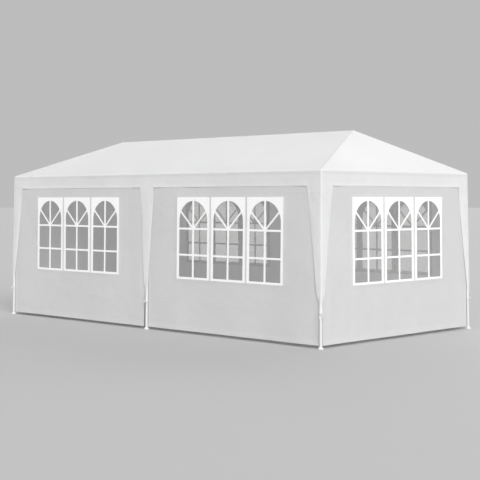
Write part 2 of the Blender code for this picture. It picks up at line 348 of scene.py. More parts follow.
def lengths_along(path: Grid) -> Grid:
    """Distance of each point of a path from its start."""
    steps = np.linalg.norm(np.diff(path, axis=0), axis=1)
    return np.concatenate([[0.0], np.cumsum(steps)])


def flat_map(u: Grid, v: Grid) -> Grid:
    """Flat places of a grid, from its coordinates in metres."""
    return np.stack(np.broadcast_arrays(u, v), axis=-1)


class ClothMesh:
    """Patches of cloth gathered as grids of points, and then given one thickness."""

    def __init__(self) -> None:
        """Start with no patch."""
        self.points: list[Grid] = []
        self.hems: list[Grid] = []
        self.quads: list[Grid] = []
        self.corner_maps: list[Grid] = []
        self.count = 0

    def add_patch(self, points: Grid, flat: Grid, hem: Grid | None = None, keep: Grid | None = None) -> None:
        """Add a grid of cloth.

        Args:
            points: the grid's points, rows by columns by three.
            flat: where each point lies on the flat cloth, rows by columns by two.
            hem: distance of each point from the nearest hem, rows by columns.
            keep: which cells are cloth, rows less one by columns less one.
        """
        rows, columns = points.shape[:2]
        index = self.count + np.arange(rows * columns).reshape(rows, columns)
        cells = np.stack([index[:-1, :-1], index[1:, :-1], index[1:, 1:], index[:-1, 1:]], axis=-1)
        maps = np.stack([flat[:-1, :-1], flat[1:, :-1], flat[1:, 1:], flat[:-1, 1:]], axis=-2)
        kept = np.ones(cells.shape[:2], bool) if keep is None else keep
        self.points.append(points.reshape(-1, 3))
        self.hems.append(np.full(rows * columns, NO_HEM) if hem is None else hem.reshape(-1))
        self.quads.append(cells[kept])
        self.corner_maps.append(maps[kept])
        self.count += rows * columns

    def mesh(self, name: str, thickness: float) -> Mesh:
        """Join the patches where they meet and close them into a thin solid.

        Args:
            name: of the mesh.
            thickness: of the cloth, measured inwards from the patches.

        Returns:
            The mesh.
        """
        points, hems, faces, maps = self._joined()
        count = len(points)
        inner = points - self._normals(points, faces) * thickness
        back = [tuple(corner + count for corner in reversed(face)) for face in faces]
        rims, rim_maps = self._rims(faces, maps, count)
        all_maps = maps + [corners[::-1] for corners in maps] + rim_maps
        mesh = bpy.data.meshes.new(name)
        mesh.from_pydata(np.concatenate([points, inner]).tolist(), [], faces + back + rims)
        layer = mesh.uv_layers.new(name=CLOTH_MAP)
        layer.data.foreach_set("uv", np.array([place for corners in all_maps for place in corners]).ravel())
        hem = mesh.attributes.new(HEM_DISTANCE, "FLOAT", "POINT")
        hem.data.foreach_set("value", np.concatenate([hems, hems]))
        smooth(mesh, SOFT_BEND)
        return mesh

    def _joined(self) -> tuple[Grid, Grid, list, list]:
        """Weld points that coincide, and drop faces that have collapsed.

        Returns:
            The points, their distances from a hem, the faces, and the flat places of their corners.
        """
        points = np.concatenate(self.points)
        _, first, where = np.unique(np.round(points, 6), axis=0, return_index=True, return_inverse=True)
        where = where.reshape(-1)
        faces, maps, used = [], [], {}
        for quad, corners in zip(np.concatenate(self.quads), np.concatenate(self.corner_maps)):
            face, places = [], []
            for corner, place in zip(where[quad], corners.tolist()):
                if corner not in face:
                    face.append(corner)
                    places.append(place)
            if len(face) > 2:
                faces.append(tuple(used.setdefault(corner, len(used)) for corner in face))
                maps.append(places)
        chosen = first[np.array(list(used))]
        return points[chosen], np.concatenate(self.hems)[chosen], faces, maps

    @staticmethod
    def _normals(points: Grid, faces: list) -> Grid:
        """Work out the outward direction at each point, from the faces round it.

        Args:
            points: of the outside.
            faces: of the outside.

        Returns:
            The directions, each of length one.
        """
        normals = np.zeros_like(points)
        for face in faces:
            corners = points[list(face)]
            normals[list(face)] += np.cross(corners[-2] - corners[0], corners[-1] - corners[1])
        lengths = np.linalg.norm(normals, axis=1, keepdims=True)
        return normals / np.maximum(lengths, 1e-12)

    @staticmethod
    def _rims(faces: list, maps: list, count: int) -> tuple[list, list]:
        """Close the cloth's edges between its outside and its inside.

        Args:
            faces: of the outside.
            maps: flat places of their corners.
            count: number of points of the outside.

        Returns:
            The rim's faces and the flat places of their corners.
        """
        edges = {}
        for face, corners in zip(faces, maps):
            for step in range(len(face)):
                start, end = face[step], face[(step + 1) % len(face)]
                edges[start, end] = (corners[step], corners[(step + 1) % len(face)])
        rims, rim_maps = [], []
        for (start, end), (one, two) in edges.items():
            if (end, start) not in edges:
                rims.append((end, start, start + count, end + count))
                rim_maps.append([two, one, one, two])
        return rims, rim_maps


def smooth(mesh: Mesh, degrees: float) -> None:
    """Shade a mesh smooth, apart from edges sharper than an angle."""
    mesh.shade_smooth()
    mesh.set_sharp_from_angle(angle=math.radians(degrees))


@contextmanager
def edited(mesh: Mesh, source: Mesh | None = None) -> Iterator[bmesh.types.BMesh]:
    """Open a mesh for editing, and write it back.

    Args:
        mesh: that is written.
        source: that is read first, or None to read the same mesh.

    Yields:
        The shape to edit.
    """
    shape = bmesh.new()
    shape.from_mesh(source or mesh)
    yield shape
    shape.to_mesh(mesh)
    shape.free()


def filled_outlines(name: str, outlines: Iterable[Outline], half_thickness: float) -> Mesh:
    """Fill outlines, with holes where one lies inside another, and give them a thickness.

    Args:
        name: of the mesh.
        outlines: closed, in the XY plane.
        half_thickness: half the thickness.

    Returns:
        The closed mesh, with its seams welded.
    """
    curve = bpy.data.curves.new(name, "CURVE")
    curve.dimensions = "2D"
    curve.fill_mode = "BOTH"
    curve.extrude = half_thickness
    for outline in outlines:
        spline = curve.splines.new("POLY")
        spline.points.add(len(outline) - 1)
        spline.points.foreach_set("co", [part for x, y in outline for part in (x, y, 0.0, 1.0)])
        spline.use_cyclic_u = True
    holder = bpy.data.objects.new(name, curve)
    bpy.context.scene.collection.objects.link(holder)
    mesh = bpy.data.meshes.new_from_object(holder.evaluated_get(bpy.context.evaluated_depsgraph_get()))
    bpy.data.objects.remove(holder)
    bpy.data.curves.remove(curve)
    with edited(mesh) as shape:
        bmesh.ops.remove_doubles(shape, verts=shape.verts, dist=1e-5)
    mesh.materials.clear()
    mesh.name = name
    return mesh


def add_piece(mesh: Mesh, material: Material) -> Piece:
    """Link a new piece of one material.

    Args:
        mesh: of the piece, which gives it its name.
        material: that it is made of.

    Returns:
        The piece.
    """
    mesh.materials.append(material)
    piece = bpy.data.objects.new(mesh.name, mesh)
    bpy.context.scene.collection.objects.link(piece)
    return piece


def settle(mesh: Mesh, material: Material, nodes: Sequence[str] = ()) -> Piece:
    """Add a piece that rides with the tent.

    Args:
        mesh: of the piece, which gives it its name.
        material: that it is made of.
        nodes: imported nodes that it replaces.

    Returns:
        The piece.
    """
    piece = add_piece(mesh, material)
    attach(piece, ROOT_BODY)
    if nodes:
        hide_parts(*nodes)
    LOG.info("made %s with %d faces", piece.name, len(mesh.polygons))
    return piece


# Finishes


class Graph:
    """A material's nodes, added by short calls."""

    # Sockets of a Mix node for colours
    MIX_FIRST, MIX_SECOND, MIX_RESULT = 6, 7, 2

    def __init__(self, name: str) -> None:
        """Make a material with an empty tree.

        Args:
            name: of the material.
        """
        self.material = bpy.data.materials.new(name)
        self.material.use_nodes = True
        self.tree = self.material.node_tree
        self.tree.nodes.clear()
        self.end = self.tree.nodes.new("ShaderNodeOutputMaterial")

    def add(self, kind: str, inputs: dict | None = None, **settings: object) -> bpy.types.Node:
        """Add a node.

        Args:
            kind: of the node, without its prefix.
            inputs: values, sockets or nodes for its inputs, by name or number.
            settings: attributes of the node.

        Returns:
            The node.
        """
        node = self.tree.nodes.new(f"ShaderNode{kind}")
        for key, value in settings.items():
            setattr(node, key, value)
        for key, value in (inputs or {}).items():
            if isinstance(value, bpy.types.Node):
                value = value.outputs[0]
            if isinstance(value, Socket):
                self.tree.links.new(value, node.inputs[key])
            else:
                node.inputs[key].default_value = value
        return node

    def math(self, operation: str, first: Number, second: Number = 0.0) -> Socket:
        """Add a Math node and return its result."""
        return self.add("Math", {0: first, 1: second}, operation=operation).outputs[0]

    def plus(self, first: Number, *others: Number) -> Socket:
        """Add up values.

        Args:
            first: of the values.
            others: the rest of them.

        Returns:
            Their sum.
        """
        for other in others:
            first = self.math("ADD", first, other)
        return first

    def times(self, first: Number, second: Number) -> Socket:
        """Multiply two values."""
        return self.math("MULTIPLY", first, second)

    def wave(self, place: Socket, pitch: float) -> Socket:
        """A sine along a coordinate, with one turn to each pitch."""
        return self.math("SINE", self.times(place, math.tau / pitch))

    def ramp(self, value: Number, low: float, high: float, start: float, end: float) -> Socket:
        """Map a value smoothly from low..high to start..end."""
        inputs = {"Value": value, "From Min": low, "From Max": high, "To Min": start, "To Max": end}
        return self.add("MapRange", inputs, interpolation_type="SMOOTHSTEP").outputs["Result"]

    def noise(self, scale: float, detail: float = 3.0, where: Socket | None = None) -> Socket:
        """Add a noise texture in the piece's own metres, or at given places."""
        spot = where or self.add("TexCoord").outputs["Object"]
        return self.add("TexNoise", {"Vector": spot, "Scale": scale, "Detail": detail}).outputs["Fac"]

    def flat_places(self) -> tuple[Socket, Socket, Socket]:
        """Read where the cloth lies when it is flat.

        Returns:
            The place, and its u and v by themselves.
        """
        place = self.add("UVMap", uv_map=CLOTH_MAP).outputs["UV"]
        parts = self.add("SeparateXYZ", {"Vector": place}).outputs
        return place, parts["X"], parts["Y"]

    def bump(self, height: Socket) -> Socket:
        """Turn a height in metres into a normal."""
        return self.add("Bump", {"Height": height, "Strength": 1.0, "Distance": 1.0}).outputs["Normal"]

    def shades(self, colour: Colour, light: float, dark: float, share: Socket) -> Socket:
        """Mix a lighter and a darker shade of a colour.

        Args:
            colour: in linear light.
            light: brightness of the one shade, as a share of the colour's.
            dark: brightness of the other.
            share: of the other.

        Returns:
            The mixed colour.
        """
        lighter, darker = ((*(min(1.0, part * shade) for part in colour), 1.0) for shade in (light, dark))
        inputs = {0: share, self.MIX_FIRST: lighter, self.MIX_SECOND: darker}
        return self.add("Mix", inputs, data_type="RGBA").outputs[self.MIX_RESULT]

    def mix(self, share: Number, first: bpy.types.Node, second: bpy.types.Node) -> bpy.types.Node:
        """Mix two shaders by the share of the second."""
        return self.add("MixShader", {0: share, 1: first, 2: second})

    def finish(self, shader: bpy.types.Node) -> Material:
        """Show a shader on the surface and return the material."""
        self.tree.links.new(shader.outputs[0], self.end.inputs["Surface"])
        return self.material


@dataclass(frozen=True)
class WovenSheet:
    """White sheet of woven flat tapes under a satin skin, creased by its packing and use.

    Attributes:
        name, colour: of the material, in linear light.
        lets_through: share of the light that passes through one skin of the piece.
        shade_range: brightness of its lightest and darkest places, as shares of the colour's.
        roughness, gloss, sheen: lowest and highest, its mirror-like part and its soft edge light.
        tape_pitch, tape_relief: distance between tapes of the weave, and their height.
        fold_pitch, fold_width, fold_relief: distances between packing folds along u and v, and their size.
        fold_drift: how far a fold strays from a straight line.
        crease_scale, crease_relief: crumples in a metre, and their height.
        swell_scale, swell_relief: broad soft swells in a metre, and their height.
        welt, welt_relief: width of the doubled cloth at hems and seams, and height of its edge.
        stitch_inset, stitch_pitch, stitch_relief: from an edge, with its gap, and height of the thread.
    """

    name: str
    colour: Colour
    lets_through: float
    shade_range: tuple[float, float] = (1.025, 0.955)
    roughness: tuple[float, float] = (0.60, 0.68)
    gloss: float = 0.22
    sheen: float = 0.12
    tape_pitch: float = 0.0026
    tape_relief: float = 0.00006
    fold_pitch: tuple[float, float] = (0.62, 0.47)
    fold_width: float = 0.012
    fold_relief: float = 0.0007
    fold_drift: float = 0.03
    crease_scale: float = 5.5
    crease_relief: float = 0.0036
    swell_scale: float = 2.2
    swell_relief: float = 0.016
    welt: float = 0.0145
    welt_relief: float = 0.0005
    stitch_inset: float = 0.010
    stitch_pitch: float = 0.007
    stitch_relief: float = 0.0004

    def _fold(self, graph: Graph, place: Socket, pitch: float, drift: Socket) -> Socket:
        """Raise a ridge along every line of one direction of folds, broken up along its length.

        Args:
            graph: of the material.
            place: coordinate across the folds.
            pitch: distance between them.
            drift: noise that bends and breaks them.

        Returns:
            The ridge, from 0 to 1.
        """
        bent = graph.plus(place, graph.times(drift, self.fold_drift))
        turn = graph.math("FRACT", graph.math("DIVIDE", bent, pitch))
        apart = graph.times(graph.math("ABSOLUTE", graph.math("SUBTRACT", turn, 0.5)), pitch)
        ridge = graph.ramp(apart, 0.0, self.fold_width, 1.0, 0.0)
        return graph.times(ridge, graph.ramp(drift, 0.36, 0.62, 0.1, 1.0))

    def _creases(self, graph: Graph, flat: Socket) -> Socket:
        """Raise the flat facets, crumples and soft swells of used sheet.

        Args:
            graph: of the material.
            flat: place on the flat cloth.

        Returns:
            Their height.
        """
        bend = graph.add("TexNoise", {"Vector": flat, "Scale": 2.6, "Detail": 3.0}).outputs["Color"]
        where = graph.add("Mix", {0: 0.22, graph.MIX_FIRST: flat, graph.MIX_SECOND: bend},
                          data_type="RGBA", blend_type="LINEAR_LIGHT").outputs[graph.MIX_RESULT]
        cells = graph.add("TexVoronoi", {"Vector": where, "Scale": self.crease_scale})
        return graph.plus(graph.times(cells.outputs["Distance"], self.crease_relief),
                          graph.times(graph.noise(9.0, 4.0, flat), self.crease_relief * 0.4),
                          graph.times(graph.noise(self.swell_scale, 1.0), self.swell_relief))

    def _seams(self, graph: Graph, u: Socket, v: Socket) -> Socket:
        """Raise doubled cloth and stitches along hems and seams.

        Args:
            graph: of the material.
            u: first flat coordinate.
            v: second flat coordinate.

        Returns:
            Their height.
        """
        edge = graph.add("Attribute", attribute_name=HEM_DISTANCE).outputs["Fac"]
        welt = graph.ramp(edge, self.welt - 0.001, self.welt + 0.0005, self.welt_relief, 0.0)
        apart = graph.math("ABSOLUTE", graph.math("SUBTRACT", edge, self.stitch_inset))
        line = graph.ramp(apart, 0.0004, 0.0012, 1.0, 0.0)
        dash = graph.ramp(graph.wave(graph.plus(u, v), self.stitch_pitch), -0.6, -0.1, 0.0, 1.0)
        return graph.plus(welt, graph.times(graph.times(line, dash), self.stitch_relief))

    def material(self) -> Material:
        """Build the material.

        Returns:
            Its reflecting skin mixed with the light that comes through.
        """
        graph = Graph(self.name)
        flat, u, v = graph.flat_places()
        weave = graph.times(graph.wave(u, self.tape_pitch), graph.wave(v, self.tape_pitch))
        drift = graph.noise(2.3, 2.0)
        folds = graph.plus(self._fold(graph, u, self.fold_pitch[0], drift),
                           self._fold(graph, v, self.fold_pitch[1], drift))
        normal = graph.bump(graph.plus(graph.times(weave, self.tape_relief),
                                       graph.times(folds, self.fold_relief),
                                       self._creases(graph, flat), self._seams(graph, u, v)))
        tone = graph.noise(1.1, 5.0)
        shade = graph.plus(tone, graph.times(graph.math("MAXIMUM", weave, 0.0), 0.22))
        colour = graph.shades(self.colour, *self.shade_range, shade)
        skin = graph.add("BsdfPrincipled", {
            "Base Color": colour, "Roughness": graph.ramp(tone, 0.3, 0.7, *self.roughness),
            "Specular IOR Level": self.gloss, "Sheen Weight": self.sheen, "Sheen Roughness": 0.5,
            "Normal": normal})
        glow = graph.add("BsdfTranslucent", {"Color": colour, "Normal": normal})
        return graph.finish(graph.mix(self.lets_through, skin, glow))


@dataclass(frozen=True)
class ClearFilm:
    """Clear soft film with shallow ripples and a faint haze.

    Attributes:
        name, colour: of the material, and of what shows through.
        haze, haze_colour: share of light that the film scatters, and its colour.
        ripple_relief: height of the ripples.
        roughness: of its gloss.
        least_shine, edge_shine: share of light that it mirrors face on, and how much more edge on.
    """

    name: str = "clear_window_film"
    colour: Colour = (0.958, 0.958, 0.956)
    haze: float = 0.065
    haze_colour: Colour = (0.9, 0.9, 0.9)
    ripple_relief: float = 0.0022
    roughness: float = 0.09
    least_shine: float = 0.03
    edge_shine: float = 0.96

    def material(self) -> Material:
        """Build the material.

        Returns:
            Clear film whose gloss grows towards its edges.
        """
        graph = Graph(self.name)
        normal = graph.bump(graph.times(graph.noise(3.4, 2.0), self.ripple_relief))
        clear = graph.add("BsdfTransparent", {"Color": (*self.colour, 1.0)})
        milk = graph.add("BsdfDiffuse", {"Color": (*self.haze_colour, 1.0), "Normal": normal})
        gloss = graph.add("BsdfGlossy", {"Roughness": self.roughness, "Normal": normal})
        # The same from both sides of a skin, unlike a Fresnel node
        facing = graph.add("LayerWeight", {"Blend": 0.5, "Normal": normal}).outputs["Facing"]
        edge = graph.times(graph.math("POWER", facing, 5.0), self.edge_shine)
        body = graph.mix(self.haze, clear, milk)
        return graph.finish(graph.mix(graph.plus(edge, self.least_shine), body, gloss))


@dataclass(frozen=True)
class WhitePrint:
    """Opaque bright white print on the window film.

    Attributes:
        name, colour: of the material, in linear light.
        lets_through: share of the light that passes through one skin of the piece.
        roughness: of its gloss.
        ripple_relief, grain_relief: height of its ripples and its grain.
    """

    name: str = "white_window_print"
    colour: Colour = (0.98, 0.98, 0.98)
    lets_through: float = 0.12
    roughness: float = 0.3
    ripple_relief: float = 0.0008
    grain_relief: float = 0.00004

    def material(self) -> Material:
        """Build the material.

        Returns:
            White print with the film's shallow ripples.
        """
        graph = Graph(self.name)
        colour = graph.shades(self.colour, 1.0, 0.98, graph.noise(5.0, 4.0))
        normal = graph.bump(graph.plus(graph.times(graph.noise(3.4, 2.0), self.ripple_relief),
                                       graph.times(graph.noise(240.0, 2.0), self.grain_relief)))
        skin = graph.add("BsdfPrincipled", {
            "Base Color": colour, "Roughness": self.roughness, "Coat Weight": 0.15, "Normal": normal})
        glow = graph.add("BsdfTranslucent", {"Color": colour, "Normal": normal})
        return graph.finish(graph.mix(self.lets_through, skin, glow))


@dataclass(frozen=True)
class PowderCoat:
    """White powder coat on steel, with a fine orange peel and a few scuffs.

    Attributes:
        name, colour: of the material, in linear light.
        roughness, scuffed: where it isn't scuffed, and how much rougher it is where it is.
        peel_relief: height of the orange peel.
    """

    name: str
    colour: Colour
    roughness: float = 0.36
    scuffed: float = 0.25
    peel_relief: float = 0.00006

    def material(self) -> Material:
        """Build the material.

        Returns:
            The coat, duller where it is scuffed.
        """
        graph = Graph(self.name)
        peel = graph.times(graph.noise(420.0, 2.0), self.peel_relief)
        scuffs = graph.ramp(graph.noise(70.0, 6.0), 0.66, 0.78, 0.0, 1.0)
        rough = graph.ramp(scuffs, 0.0, 1.0, self.roughness, self.roughness + self.scuffed)
        return graph.finish(graph.add("BsdfPrincipled", {
            "Base Color": graph.shades(self.colour, 1.0, 0.90, scuffs), "Roughness": rough,
            "Coat Weight": 0.2, "Coat Roughness": 0.25, "Normal": graph.bump(peel)}))


@dataclass(frozen=True)
class Webbing:
    """Ribbed white strap, with painted shade in the grooves between its ribs.

    Attributes:
        name, colour: of the material, in linear light.
        rib_pitch, rib_relief: distance between its ribs, and their height.
    """

    name: str
    colour: Colour
    rib_pitch: float = 0.0017
    rib_relief: float = 0.00007

    def material(self) -> Material:
        """Build the material.

        Returns:
            Dull ribbed cloth, painted darker in the grooves between the ribs as painted shade.
        """
        graph = Graph(self.name)
        ribs = graph.wave(graph.flat_places()[2], self.rib_pitch)
        height = graph.times(graph.plus(ribs, graph.noise(900.0, 2.0)), self.rib_relief)
        # Painted shade: the colour darkens towards the grooves between the ribs, where the rib height is
        # lowest
        colour = graph.shades(self.colour, 1.0, 0.88, graph.ramp(ribs, -1.0, 1.0, 1.0, 0.0))
        return graph.finish(graph.add("BsdfPrincipled", {
            "Base Color": colour, "Roughness": 0.75, "Sheen Weight": 0.3,
            "Normal": graph.bump(height)}))


@dataclass(frozen=True)
class MouldedPlastic:
    """Moulded plastic of the zips.

    Attributes:
        name, colour: of the material, in linear light.
        grain_relief: height of its grain.
    """

    name: str
    colour: Colour
    grain_relief: float = 0.00005

    def material(self) -> Material:
        """Build the material.

        Returns:
            Smooth plastic with a faint grain.
        """
        graph = Graph(self.name)
        grain = graph.times(graph.noise(600.0, 2.0), self.grain_relief)
        return graph.finish(graph.add("BsdfPrincipled", {
            "Base Color": graph.shades(self.colour, 1.0, 0.9, graph.noise(30.0, 3.0)),
            "Roughness": 0.4, "Normal": graph.bump(grain)}))


@dataclass(frozen=True)
class StudioPaper:
    """Pale paper of the studio floor.

    Attributes:
        name, colour: of the material, in linear light.
    """

    name: str = "studio_paper"
    colour: Colour = (0.46, 0.46, 0.46)

    def material(self) -> Material:
        """Build the material.

        Returns:
            Matt paper, hardly mottled.
        """
        graph = Graph(self.name)
        colour = graph.shades(self.colour, 1.0, 0.985, graph.noise(0.8, 3.0))
        return graph.finish(graph.add("BsdfPrincipled", {"Base Color": colour, "Roughness": 0.85}))


@dataclass(frozen=True)
class Finishes:
    """The materials of the tent, each built once."""

    cover: Material
    wall: Material
    film: Material
    bars: Material
    tube: Material
    connector: Material
    strap: Material
    tie: Material
    zip: Material

    @classmethod
    def make(cls) -> Finishes:
        """Build every material.

        Returns:
            The materials by what they are used for.
        """
        return cls(
            cover=WovenSheet("white_cover_sheet", (0.926, 0.927, 0.927), 0.45).material(),
            wall=WovenSheet("white_wall_sheet", (0.828, 0.829, 0.829), 0.47).material(),
            film=ClearFilm().material(),
            bars=WhitePrint().material(),
            tube=PowderCoat("white_tube_coat", (0.62, 0.62, 0.62)).material(),
            connector=PowderCoat("white_connector_coat", (0.57, 0.57, 0.58), 0.42).material(),
            strap=Webbing("white_strap", (0.62, 0.62, 0.62)).material(),
            tie=Webbing("white_tie", (0.70, 0.70, 0.70), 0.0012).material(),
            zip=MouldedPlastic("white_zip", (0.72, 0.72, 0.73)).material())


# The cover


@dataclass
class Profile:
    """Cross-section of the cover over one side, ring by ring from the ridge to the valance's hem.

    Attributes:
        out, height: distance out from the eave fold, negative over the roof, and above the ground.
        along: length of cloth from the ridge.
        facing: outward direction of the cloth in the section (out, up).
    """

    out: Grid
    height: Grid
    along: Grid
    facing: Grid


@dataclass
class Cover:
    """Roof, valances and leg flaps, sewn into one continuous sheet.

    The sheet is a stack of rings round the tent, from the ridge down to the hem of the
    valance. Each ring has the same columns, so that the cloth bends round hips, ridge, eaves
    and corners as it does round the tubes under it. The leg flaps go on down from their columns.

    Attributes:
        spacing: longest step of the mesh.
        bend_steps, slope_rings: steps of a bend, and down a slope.
        crease_radius, crease_share: of the sharpest bend, and the share of its room that it may fill.
        corner_flap, middle_flap: widths at the valance's hem, of a corner's flap on each of its sides. Their
            _end and _height are the width and the height of their lower ends.
        wrap_heights: between which a flap is gathered round its leg.
        edge_play: how far a flap's edge may stray between the rings.
        seam_drop, seam_rings: how far the seam lies below the eave, and the rings across it, in half widths.
        hip_seam: distance from a hip up to which its stitches show.
        long_sag, end_sag: of a long slope between its rafters, and of an end slope.
        swell, ripple: height of the folds along the slopes, and along the valance's hem.
        lean_in, most_in: how far that hem hangs in behind its eave, and the furthest that it may.
        free_width: distance from a flap over which the valance comes free.
        flap_start, fold_start: shares of the way down over which a flap and its folds take their shape.
        fold_fade, fold_turns: how much the folds fade on the way down, and their number across and down.
        flap_curl, curl_reach: how far a flap hangs in beside its leg, and from where to where it starts to.
        edge_tuck, tuck_width, tuck_reach: the same for its free edges, which curl in further.
    """

    sizes: TentSizes
    finishes: Finishes
    thickness: float = 0.0011
    spacing: float = 0.045
    bend_steps: int = 4
    slope_rings: int = 34
    crease_radius: float = 0.003
    crease_share: float = 0.8
    valance_depth: float = 0.185
    corner_flap: float = 0.215
    corner_flap_end: float = 0.0383
    corner_flap_height: float = 0.39
    middle_flap: float = 0.264
    middle_flap_end: float = 0.040
    middle_flap_height: float = 0.36
    wrap_heights: tuple[float, float] = (0.64, 0.43)
    edge_play: float = 0.0001
    hem: float = 0.016
    hem_step: float = 0.003
    hem_relief: float = 0.0008
    seam_drop: float = 0.020
    seam_width: float = 0.006
    seam_relief: float = 0.0007
    seam_rings: tuple[float, ...] = (-1.4, -0.7, 0.0, 0.7, 1.4)
    hip_seam: float = 0.12
    long_sag: float = 0.016
    end_sag: float = 0.007
    swell: float = 0.0022
    swell_waves: Waves = ((1.0, 1.9, 0.6, 0.0), (0.5, 4.6, 1.7, 9.0))
    ripple: float = 0.0040
    ripple_waves: Waves = ((0.75, 1.5, 0.0, 4.0), (0.35, 4.2, 0.0, 0.0))
    lean_in: float = 0.0070
    most_in: float = 0.0085
    free_width: float = 0.26
    flap_start: float = 0.10
    flap_fold: float = 0.0022
    fold_start: float = 0.12
    fold_fade: float = 0.6
    fold_turns: tuple[float, float] = (1.15, 0.25)
    flap_curl: float = 0.0055
    curl_reach: tuple[float, float] = (0.02, 0.20)
    edge_tuck: float = 0.0028
    tuck_width: float = 0.05
    tuck_reach: tuple[float, float] = (0.06, 0.12)

    @property
    def bend(self) -> float:
        """Radius of the cloth where it bends round a tube."""
        return self.sizes.tube_depth

    @property
    def hem_depth(self) -> float:
        """Length of cloth from the eave fold to the valance's hem."""
        return self.valance_depth / math.cos(self.sizes.splay)

    def corner(self, side: Side) -> float:
        """Place of a side's right corner at the valance's hem."""
        return Face(self.sizes, side).corner_u(0.0, -self.hem_depth)

    def profile(self, side: Side) -> Profile:
        """Work out the cross-section over one side.

        Args:
            side: of the tent.

        Returns:
            The section, with as many rings as every other side's.
        """
        sizes, bend, splay = self.sizes, self.bend, self.sizes.splay
        pitch, long_pitch = sizes.pitch(side), sizes.pitch(Side.FRONT)
        # Distance from the eave fold to where the bend starts, on the slope and on the valance
        eave = bend * math.tan((math.pi / 2 - splay - pitch) / 2)
        turns = np.linspace(0.0, long_pitch, self.bend_steps)
        ridge = sizes.ridge_height - bend / math.cos(long_pitch) + bend * np.cos(turns)
        slope = np.linspace(ridge[-1], sizes.eave_height + eave * math.sin(pitch), self.slope_rings + 1)
        heights = np.concatenate([ridge, slope[1:]])
        out = -(heights - sizes.eave_height) / math.tan(pitch)
        if side.is_long:
            out[:len(ridge)] = bend * np.sin(turns) - sizes.width / 2
        roof = np.stack([out, heights], axis=-1)
        angles = np.linspace(pitch, math.pi / 2 - splay, self.bend_steps + 1)[1:]
        turned = np.stack([np.sin(angles), np.cos(angles)], axis=-1)
        centre = (-eave * math.cos(pitch) - bend * math.sin(pitch),
                  sizes.eave_height + eave * math.sin(pitch) - bend * math.cos(pitch))
        seam = [self.seam_drop + ring * self.seam_width / 2 for ring in self.seam_rings]
        hem = self.hem_depth - np.array([self.hem + self.hem_step, self.hem, 0.0])
        drops = np.concatenate([spaced([eave, *seam, hem[0]], self.spacing)[1:], hem[1:]])
        hang = drops[:, None] * (math.sin(splay), -math.cos(splay)) + (0.0, sizes.eave_height)
        section = np.concatenate([roof, centre + bend * turned, hang])
        facing = np.concatenate([np.tile((math.sin(pitch), math.cos(pitch)), (len(roof), 1)), turned,
                                 np.tile((math.cos(splay), math.sin(splay)), (len(hang), 1))])
        return Profile(section[:, 0], section[:, 1], lengths_along(section), facing)

    def columns(self, side: Side) -> Grid:
        """Work out the shares of half a ring's straight run at which a side's columns stand.

        Args:
            side: of the tent.

        Returns:
            The shares, from -1 at the left corner to 1 at the right one.
        """
        run = self.corner(side) - self.crease_radius
        inset = (0.0, self.hem, self.hem + self.hem_step)
        marks = [0.0, run] + [self.corner(side) - self.corner_flap + step for step in inset]
        if side.is_long:
            marks += [self.middle_flap / 2 - step for step in inset]
        half = spaced(marks, self.spacing) / run
        return np.concatenate([-half[:0:-1], half])

    def _relief(self, side: Side, across: Grid, u: Grid, profile: Profile) -> Grid:
        """Shape the sag, folds, hem and seam of the cloth over one side.

        Args:
            side: of the tent.
            across: share of the half ring at each column.
            u: places along the eave, rings by columns.
            profile: the side's section.

        Returns:
            The distance outwards, rings by columns.
        """
        seed = 3.7 * side.value
        share = np.abs(across)[None, :]
        lowered = (self.sizes.eave_height - profile.height)[:, None]
        rise = np.clip(-lowered / self.sizes.rise, 0.0, 1.0)
        bow = 4.0 * rise * (1.0 - rise)
        taut = bow * (1.0 - share ** 6)
        if side.is_long:
            sag = self.long_sag * bow * np.sin(math.pi * share) ** 1.4
            taut = taut * smoothstep(0.01, 0.14, share)
        else:
            sag = self.end_sag * bow * (1.0 - share ** 2)
        swell = self.swell * taut * soft_swells(u, profile.along[:, None], self.swell_waves, seed)
        free = smoothstep(0.0, self.free_width, self.corner(side) - self.corner_flap - np.abs(u))
        if side.is_long:
            free = free * smoothstep(0.0, self.free_width, np.abs(u) - self.middle_flap / 2)
        wave = self.ripple * soft_swells(u, u, self.ripple_waves, seed) - self.lean_in
        drop = np.clip(lowered / self.valance_depth, 0.0, 1.0)
        ripple = drop ** 1.3 * free * np.maximum(wave, -self.most_in)
        in_hem = (profile.along[-1] - profile.along)[:, None] <= self.hem + HAIR
        folded = self.hem_relief * (in_hem & self._between_flaps(side, u))
        from_seam = np.abs(lowered - self.seam_drop) / self.seam_width
        return swell - sag + ripple + folded + self.seam_relief * smoothstep(0.6, 0.3, from_seam)

    def _between_flaps(self, side: Side, u: Grid) -> Grid:
        """Find where the valance ends in a hem, and not in a flap that goes on down.

        Args:
            side: of the tent.
            u: places along the eave.

        Returns:
            Whether there is a hem at each place.
        """
        hemmed = np.abs(u) < self.corner(side) - self.corner_flap + self.edge_play
        if side.is_long:
            hemmed &= np.abs(u) > self.middle_flap / 2 - self.edge_play
        return hemmed

    def _hem_distance(self, side: Side, u: Grid, profile: Profile) -> Grid:
        """Measure from the valance's hem, the seam of the eave and those of the hips.

        Args:
            side: of the tent.
            u: places along the eave, rings by columns.
            profile: the side's section.

        Returns:
            The least distance, or NO_HEM away from them all.
        """
        sizes = self.sizes
        hem = (profile.along[-1] - profile.along)[:, None]
        hem = np.where((hem < 3 * self.hem) & self._between_flaps(side, u), hem, NO_HEM)
        lowered = (sizes.eave_height - profile.height)[:, None]
        eave = lowered - self.seam_drop + SEAM_STITCH
        eave = np.where((eave > 0.0) & (eave < 2 * SEAM_STITCH), eave, NO_HEM)
        slope = sizes.slope(side)
        lean = np.where(lowered < 0.0, slope / math.hypot(sizes.run(side.following), slope), 1.0)
        hip = (np.abs(u[:, -1:]) - np.abs(u)) * lean
        hip = np.where((hip < self.hip_seam) & (lowered < 0.0), hip, NO_HEM)
        return np.minimum(np.minimum(hem, eave), hip)

    def make(self) -> None:
        """Make the cover's one sheet, in place of the panels and the valances."""
        sizes = self.sizes
        profiles = {side: self.profile(side) for side in Side}
